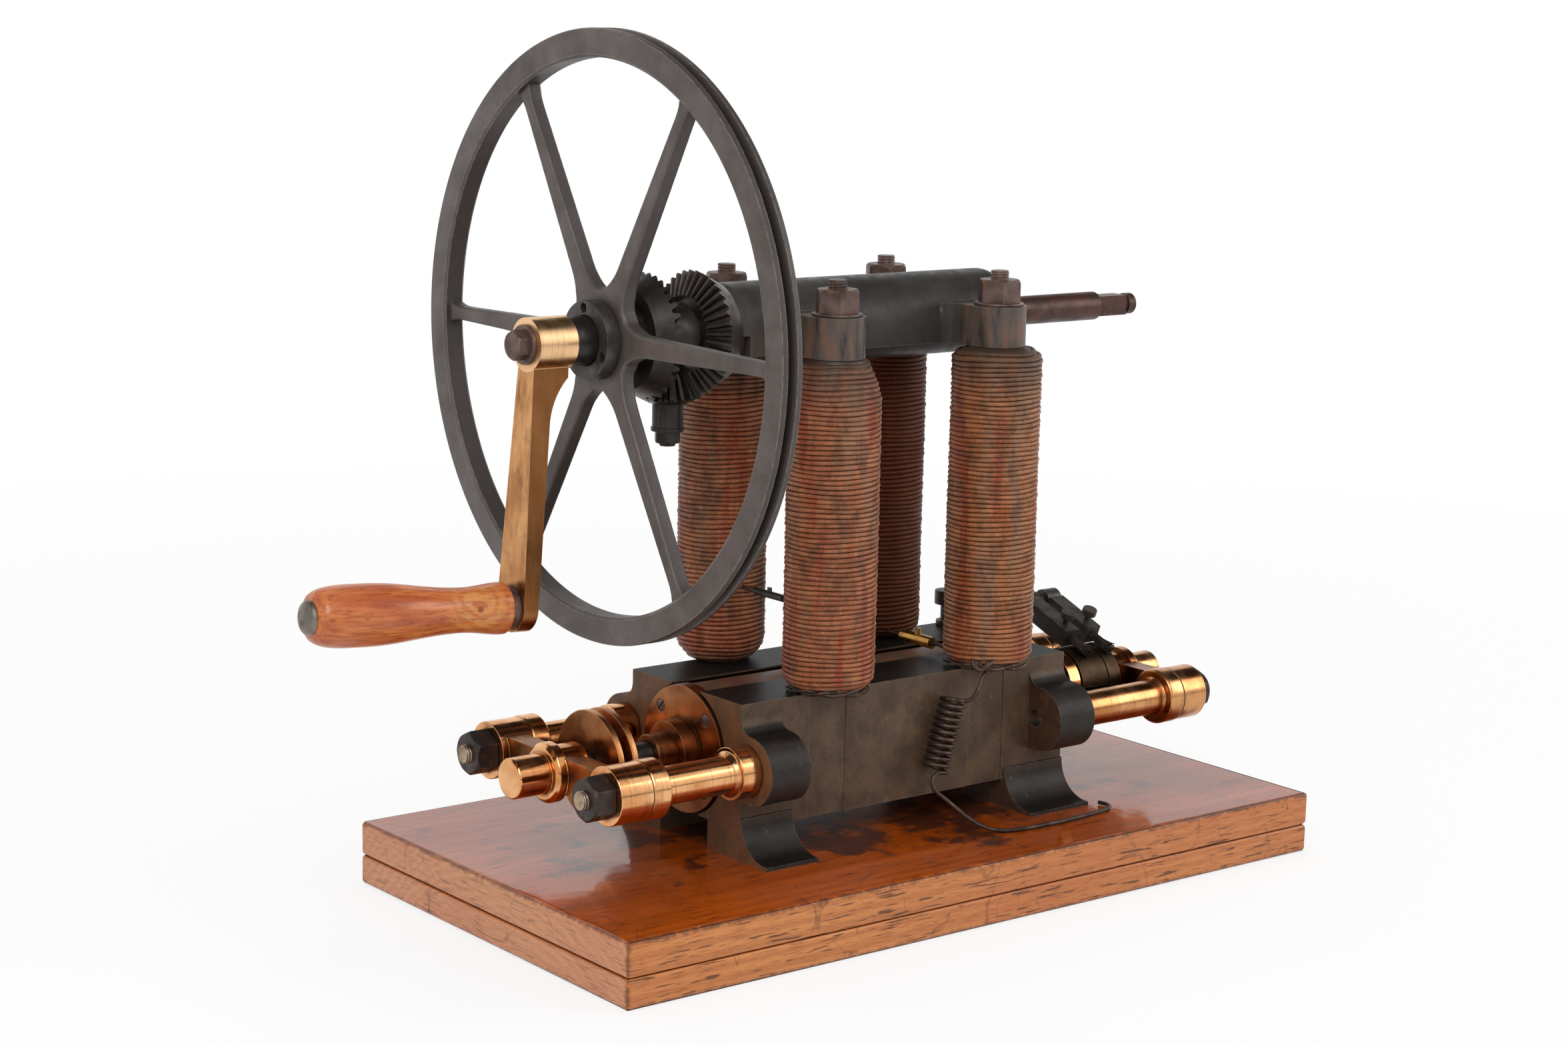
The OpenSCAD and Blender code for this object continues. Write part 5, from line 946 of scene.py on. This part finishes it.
# Turned bronze: golden, with sharp highlights and fine rings. Under old lacquer it is softer and browner.
turned_bronze = aged_bronze("turned_bronze", "#E9B27D", "#CE8C57", "#5E3119", (1, 0.03, 0.03), 0.13, 0.24)
rear_bronze = aged_bronze("lacquered_bronze", "#D39C69", "#B27545", "#5A3019", (1, 0.03, 0.03), 0.19, 0.32)
for end, finish in (("front", turned_bronze), ("rear", rear_bronze)):
    for pillar in ("pillar_" + end + "_near", "pillar_" + end + "_far"):
        dress(rounded(copied(pillar), 0.5 * mm, 3), "frame", finish, pillar)
    part = end + "_bridge"
    bridge = dress(rounded(copied(part), 0.7 * mm, 3), "frame", finish, part)
    bridge.data.materials.append(dull_bronze)
    for face in bridge.data.polygons:
        face.material_index = int(arm_from < abs(face.center.y) < arm_to)

# Studs and nuts of the pillars: steel studs run through the pillars, with a hexagon nut on each end.
# The nuts are nearly black with oil; the studs' threaded ends were filed bright and have yellowed.
pillar_y = 52 * mm
bare_l = 3 * mm
bare_thread_l = 2.4 * mm
worn_ends = [rounded(copied("pillar_studs"), 0.4 * mm)]
stud_low, stud_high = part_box("pillar_studs")
for y in (-pillar_y, pillar_y):
    for x, way in ((stud_low.x + bare_l, -1), (stud_high.x - bare_l, 1)):
        worn_ends.append(thread((x, y, axle_z), (way, 0, 0), stud_thread_r, bare_thread_l, stud_pitch))
# Filed steel: pale and warm, with a satin shine. Blackened steel: a dull brown-black skin.
filed_steel = aged_steel("filed_steel", "#AB9780", "#86725C", "#5E4B3C", 0.85, 0.28, 0.44)
dress(joined(*worn_ends), "frame", filed_steel, "pillar_studs")
nut_black = aged_steel("blackened_steel", "#40342F", "#2C2422", "#523C31", 0.5, 0.34, 0.5)
dress(rounded(copied("pillar_nuts"), 0.6 * mm), "frame", nut_black, "pillar_nuts")

# Commutator: a bronze flange, two half drums on a black insulating bush, and a plain ring behind them.
# The drum is dull olive-brown where the brushes ran.
# Run-in bronze: brown and satin, with fine rings from the brushes.
drum_bronze = aged_bronze("run_in_bronze", "#483829", "#372B1F", "#221911", (1, 0.03, 0.03), 0.38, 0.56)
flange = rounded(copied("commutator_flange"), 0.4 * mm)
dress(flange, "armature", turned_bronze, "commutator_flange")
for part in ("commutator_segments", "commutator_ring"):
    dress(rounded(copied(part), 0.3 * mm), "armature", drum_bronze, part)

# Ebonite: hard black rubber, turned, greyed by light and a little brown.
ebonite, tree, shader, where = new_finish("ebonite")
cloud = add(tree, "TexNoise", {"Vector": where, "Scale": 1 / (8 * mm), "Detail": 5})
lines = add(tree, "TexNoise", {"Vector": add(tree, "Mapping", {0: where, "Scale": (1, 0.03, 0.03)}),
                               "Scale": 1 / (0.9 * mm), "Detail": 4})
share = add(tree, "MapRange", {0: cloud, 1: 0.35, 2: 0.65})
feed(tree, shader, {
    "Base Color": add(tree, "Mix", {0: share, 6: "#1C1A19", 7: "#2B2521"}, 2, data_type="RGBA"),
    "Roughness": add(tree, "MapRange", {0: cloud, 1: 0.3, 2: 0.7, 3: 0.35, 4: 0.5}),
    "Normal": add(tree, "Bump", {"Height": lines, "Distance": 0.05 * mm, "Strength": 0.3})})
dress(rounded(copied("commutator_bush"), 0.3 * mm), "armature", ebonite, "commutator_bush")

# Brush gear: a bracket clamped on the far rear pillar, with a spindle that carries two sprung holders.
# Each brush is a bundle of thin copper wires, frayed and black at the tip, held by a thumb screw.
dress(rounded(copied("brush_bracket"), 0.5 * mm), "frame", dusty_steel, "brush_bracket")
for part in ("brush_spindle", "brush_holders", "thumb_screws"):
    dress(rounded(copied(part), 0.5 * mm), "brush_gear", dusty_steel, part)

brush_low, brush_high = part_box("wire_brushes")
brush_r = 2.5 * mm
brush_inset = 2.6 * mm
brush_tilt = math.radians(21)
brush_tip = 7 * mm
brush_l = 43 * mm
strand_r = 0.36 * mm
brush_strands = 40
touch = Vector((0, -0.0081867, 0.1028276))
brush_along = Vector((0, math.cos(brush_tilt), math.sin(brush_tilt)))
brush_up = Vector((0, -math.sin(brush_tilt), math.cos(brush_tilt)))
brush_across = Vector((1, 0, 0))
strands = []
for n, x in enumerate((brush_low.x + brush_inset, brush_high.x - brush_inset)):
    for i in range(brush_strands):
        reach = brush_r * 0.92 * math.sqrt((i + 0.5) / brush_strands)
        angle = i * 2.39996
        splay = 1 + (1.1 if math.sin(angle) > 0 else 0.4) * abs(math.sin(i * 5.3 + n))
        tip = brush_tip * (0.72 + 0.28 * math.sin(i * 3.7 + 2 * n) ** 2)
        strands.append(tube("wire_bundle", [
            touch + Vector((x, 0, 0)) + brush_along * s
            + reach * spread * (brush_across * math.cos(angle) + brush_up * math.sin(angle))
            for s, spread in ((brush_l - brush_tip, 1), (0.3 * brush_l, 1), (2 * mm, 1),
                              (-0.5 * tip, 0.5 + 0.5 * splay), (-tip, splay))], strand_r, 4))
# Sooted copper: thin wires, matt and brown-black from sparks.
soot_copper = aged_steel("sooted_copper", "#4A4038", "#2E2824", "#62493A", 0.6, 0.4, 0.6)
dress(joined(*strands), "brush_gear", soot_copper, "wire_brushes")

# Terminal post on the far pole piece, with a knob to clamp a wire, and two sleeves that join the coils' wires.
# The right sleeve is brass; the left one is thinner and has blackened.
left_clip = (-57.2 * mm, 156 * mm)
clip_share = 0.6
dress(rounded(copied("terminal_post"), 0.5 * mm), "frame", dusty_steel, "terminal_post")
# Sleeve brass: yellow and fairly bright, with brown corners.
sleeve_brass = aged_bronze("sleeve_brass", "#C99A52", "#9C7234", "#4E3616", (0.03, 1, 0.03), 0.22, 0.4)
sleeves = dress(rounded(copied("lead_sleeves"), 0.4 * mm), "frame", sleeve_brass, "lead_sleeves")
sleeves.data.materials.append(oiled_iron)
for face in sleeves.data.polygons:
    face.material_index = int(face.center.x < 0)
for v in sleeves.data.vertices:
    if v.co.x < 0:
        v.co.x = left_clip[0] + clip_share * (v.co.x - left_clip[0])
        v.co.z = left_clip[1] + clip_share * (v.co.z - left_clip[1])

# Lead: bare copper wire, brown-black with age, twisted out of the near right coil and curled into a pigtail.
# Its free end lies on the base and hooks round the rear foot; it is stiff enough to keep the curls.
lead_r = 1.1 * mm
pigtail_top = Vector((24, -54.5, 101)) * mm
pigtail_low = Vector((12, -54.5, 64)) * mm
pigtail_r = 6.2 * mm
curls = 11
curl_steps = 16
lead_start = [(44.1, -61.4, 115.4), (41.5, -61.9, 115.3), (39, -62, 114.2), (37, -62, 112), (35.8, -62, 109),
              (34.6, -61.9, 106), (33, -61.7, 103.2), (30.6, -61.3, 101.2), (27.6, -60.9, 100.5)]
lead_end = [(8.6, -60.9, 64.4), (5.9, -61, 62.6), (4.9, -61.2, 59.6), (5.8, -61.6, 56.4), (8.2, -62.4, 53.8),
            (12, -64, 50.6), (16, -66.6, 46.6), (20.4, -70.6, 41.8), (24.8, -75.4, 37.9), (29, -80.2, 35.7),
            (34, -84.6, 34.9), (42, -87.4, 34.9), (54, -88.8, 34.9), (72, -89, 34.9), (90, -88, 34.9),
            (103, -86.6, 34.9), (110, -85, 34.9), (114.4, -82, 34.9), (116, -77.6, 34.9), (115, -73, 34.9)]

curl_axis = (pigtail_low - pigtail_top).normalized()
curl_side = curl_axis.cross(Vector((0, 1, 0)))
route = [Vector(p) * mm for p in lead_start]
for j in range(curls * curl_steps + 1):
    angle = -math.tau * j / curl_steps - math.pi / 2
    route.append(pigtail_top + (pigtail_low - pigtail_top) * j / (curls * curl_steps)
                 + pigtail_r * (curl_side * math.cos(angle) + Vector((0, 1, 0)) * math.sin(angle)))
route += [Vector(p) * mm for p in lead_end]
lead = drawn_wire("lead", route, lead_r, 3)
# Brown copper: an even dark oxide, dull, with redder metal where it was rubbed.
dark_copper = aged_steel("brown_copper", "#54433A", "#362A24", "#6E5040", 0.65, 0.38, 0.55)
dress(lead, "frame", dark_copper, "coil_leads")

# Ties: the ends of the near coils' wire, twisted round the foot of each coil to keep the last turn in place.
# The same brown copper wire as the lead, with a loose bow where the lead starts.
tie_r = 1 * mm
tie_lay = 0.9 * mm
bow_angle = 3.9
bow_reach = 23.4 * mm
bow_z = 118.4 * mm


def tie(axis, height, reach, start, turns, twist, side):
    """One strand of a tie: an arc round the coil's foot that winds about its neighbour."""
    points = []
    for i in range(int(48 * turns) + 1):
        angle = start + math.tau * i / 48
        lay = twist * angle + side
        away = reach + tie_lay * math.cos(lay)
        points.append((axis.x + away * math.cos(angle), axis.y + away * math.sin(angle),
                       height + tie_lay * math.sin(lay) + 0.5 * mm * math.sin(2 * angle)))
    return tube("coil_ties", points, tie_r, 8)


strands = []
for name, height, reach, start, turns in (("near_right", 116.5, 21.4, 2.5, 0.42), ("near_left", 116.2, 19.6, 2.4, 0.7)):
    low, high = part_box("coil_" + name)
    for side in (0, math.pi):
        strands.append(tie((low + high) / 2, height * mm, reach * mm, start, turns, 5, side))
low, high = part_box("coil_near_right")
outward = Vector((math.cos(bow_angle), math.sin(bow_angle), 0))
sideways = Vector((-outward.y, outward.x, 0))
bow = (low + high) / 2 + outward * bow_reach
bow.z = bow_z
for size in (1, 0.7):
    strands.append(tube("coil_ties", [
        bow + sideways * 5.6 * mm * size * math.cos(a / 4) + outward * 1.1 * mm * size * math.sin(a / 4)
        + Vector((0, 0, 2.5 * mm * size * math.sin(a / 2 + size))) for a in range(24)], tie_r, 8))
dress(joined(*strands), "frame", dark_copper)

# Link wires: short ends of the near and far coils' wire, which join each pair of coils.
# Brown copper, pulled straight by hand and pushed into the two sleeves.
sleeve_half = 6 * mm
right_sleeve = (45.2 * mm, 120 * mm)
links = []
for (x, z), reach in ((left_clip, 23.2 * mm), (right_sleeve, 27 * mm)):
    for side in (-1, 1):
        links.append(tube("link_wires", [
            (x, side * (sleeve_half + (reach - sleeve_half) * k / 8), z + 0.25 * mm * math.sin(1.9 * k))
            for k in range(9)], lead_r, 8))
dress(joined(*links), "frame", dark_copper)

# Stage: a white sheet under the base and a white room round it, lit by a large soft lamp over the left shoulder,
# a second from the right and one overhead. The camera stands low before the crank side, as for a catalogue.
bpy.ops.object.select_all(action="DESELECT")
bpy.ops.mesh.primitive_plane_add(size=60, location=(0, 0, 0))
floor = bpy.context.object
floor.name = "floor"
paper, tree, shader, where = new_finish("white_paper")
feed(tree, shader, {"Base Color": "#F1F0EE", "Roughness": 0.9})
rays = add(tree, "LightPath", {}).node.outputs
seen = add(tree, "Math", {0: rays["Is Camera Ray"], 1: rays["Is Glossy Ray"]}, operation="MAXIMUM")
seen = add(tree, "Math", {0: seen, 1: rays["Is Transmission Ray"]}, operation="MAXIMUM")
away = add(tree, "VectorMath", {0: where}, "Value", operation="LENGTH")
lifted = add(tree, "Math", {0: seen, 1: add(tree, "MapRange", {0: away, 1: 0.3, 2: 1.4, 3: 0.75, 4: 1})},
             operation="MULTIPLY")
glow = add(tree, "Emission", {"Color": "#FFFFFF", "Strength": 1.0})
feed(tree, tree.nodes["Material Output"],
     {"Surface": add(tree, "MixShader", {0: lifted, 1: shader.outputs[0], 2: glow})})
floor.data.materials.append(paper)

room = bpy.data.worlds.new("white_room")
room.use_nodes = True
tree = room.node_tree
rays = add(tree, "LightPath", {}).node.outputs
seen = add(tree, "Math", {0: rays["Is Camera Ray"], 1: rays["Is Glossy Ray"]}, operation="MAXIMUM")
seen = add(tree, "Math", {0: seen, 1: rays["Is Transmission Ray"]}, operation="MAXIMUM")
walls = add(tree, "Background", {"Color": "#FFFFFF", "Strength": 1.0})
light = add(tree, "Background", {"Color": "#F7F8FA", "Strength": 0.55})
feed(tree, tree.nodes["World Output"], {"Surface": add(tree, "MixShader", {0: seen, 1: light, 2: walls})})
bpy.context.scene.world = room

# Two dark cards, one overhead and one low behind the camera, show only in polished metal and give it dark bands.
felt, tree, shader, where = new_finish("black_felt")
feed(tree, shader, {"Base Color": "#241A14", "Roughness": 1.0, "Specular IOR Level": 0.0})
for place, turn, size in (((0, 0.3, 1.6), (0, 0, 0), (5, 1.9, 1)),
                          ((-0.4, -2.3, 0.24), (math.pi / 2, 0, 0), (7, 0.2, 1))):
    bpy.ops.object.select_all(action="DESELECT")
    bpy.ops.mesh.primitive_plane_add(size=1, location=place, rotation=turn)
    card = bpy.context.object
    card.scale = size
    card.name = "dark_card"
    bpy.ops.object.transform_apply(location=True, rotation=True, scale=True)
    card.data.materials.append(felt)
    card.visible_camera = card.visible_diffuse = card.visible_transmission = card.visible_shadow = False


def softbox(name, place, aim, size, power):
    """A square area lamp that looks at a point."""
    lamp = bpy.data.lights.new(name, "AREA")
    lamp.shape = "SQUARE"
    lamp.size = size
    lamp.energy = power
    stand = bpy.data.objects.new(name, lamp)
    bpy.context.scene.collection.objects.link(stand)
    stand.location = place
    stand.rotation_euler = (Vector(aim) - Vector(place)).to_track_quat("-Z", "Y").to_euler()


middle = (0, 0, 0.2)
softbox("key_lamp", (-1.5, -1.4, 1.7), middle, 1.3, 26)
softbox("side_lamp", (1.7, -1.3, 1.1), middle, 1.1, 11)
softbox("top_lamp", (0, 0.3, 2.2), middle, 1.6, 16)

camera_place = Vector((-0.9885, -1.1870, 0.4706))
azimuth, elevation, roll = math.radians(-38.37), math.radians(10.386), math.radians(1.276)
back = Vector((math.sin(azimuth) * math.cos(elevation), -math.cos(azimuth) * math.cos(elevation), math.sin(elevation)))
right = Vector((math.cos(azimuth), math.sin(azimuth), 0))
up = back.cross(right)
across = math.cos(roll) * right + math.sin(roll) * up
upward = math.cos(roll) * up - math.sin(roll) * right
lens = bpy.data.cameras.new("camera")
lens.lens = 68.34
lens.sensor_width = 36
camera = bpy.data.objects.new("camera", lens)
bpy.context.scene.collection.objects.link(camera)
camera.matrix_world = Matrix.Translation(camera_place) @ Matrix((across, upward, back)).transposed().to_4x4()
bpy.context.scene.camera = camera
bpy.context.scene.view_settings.view_transform = "Standard"
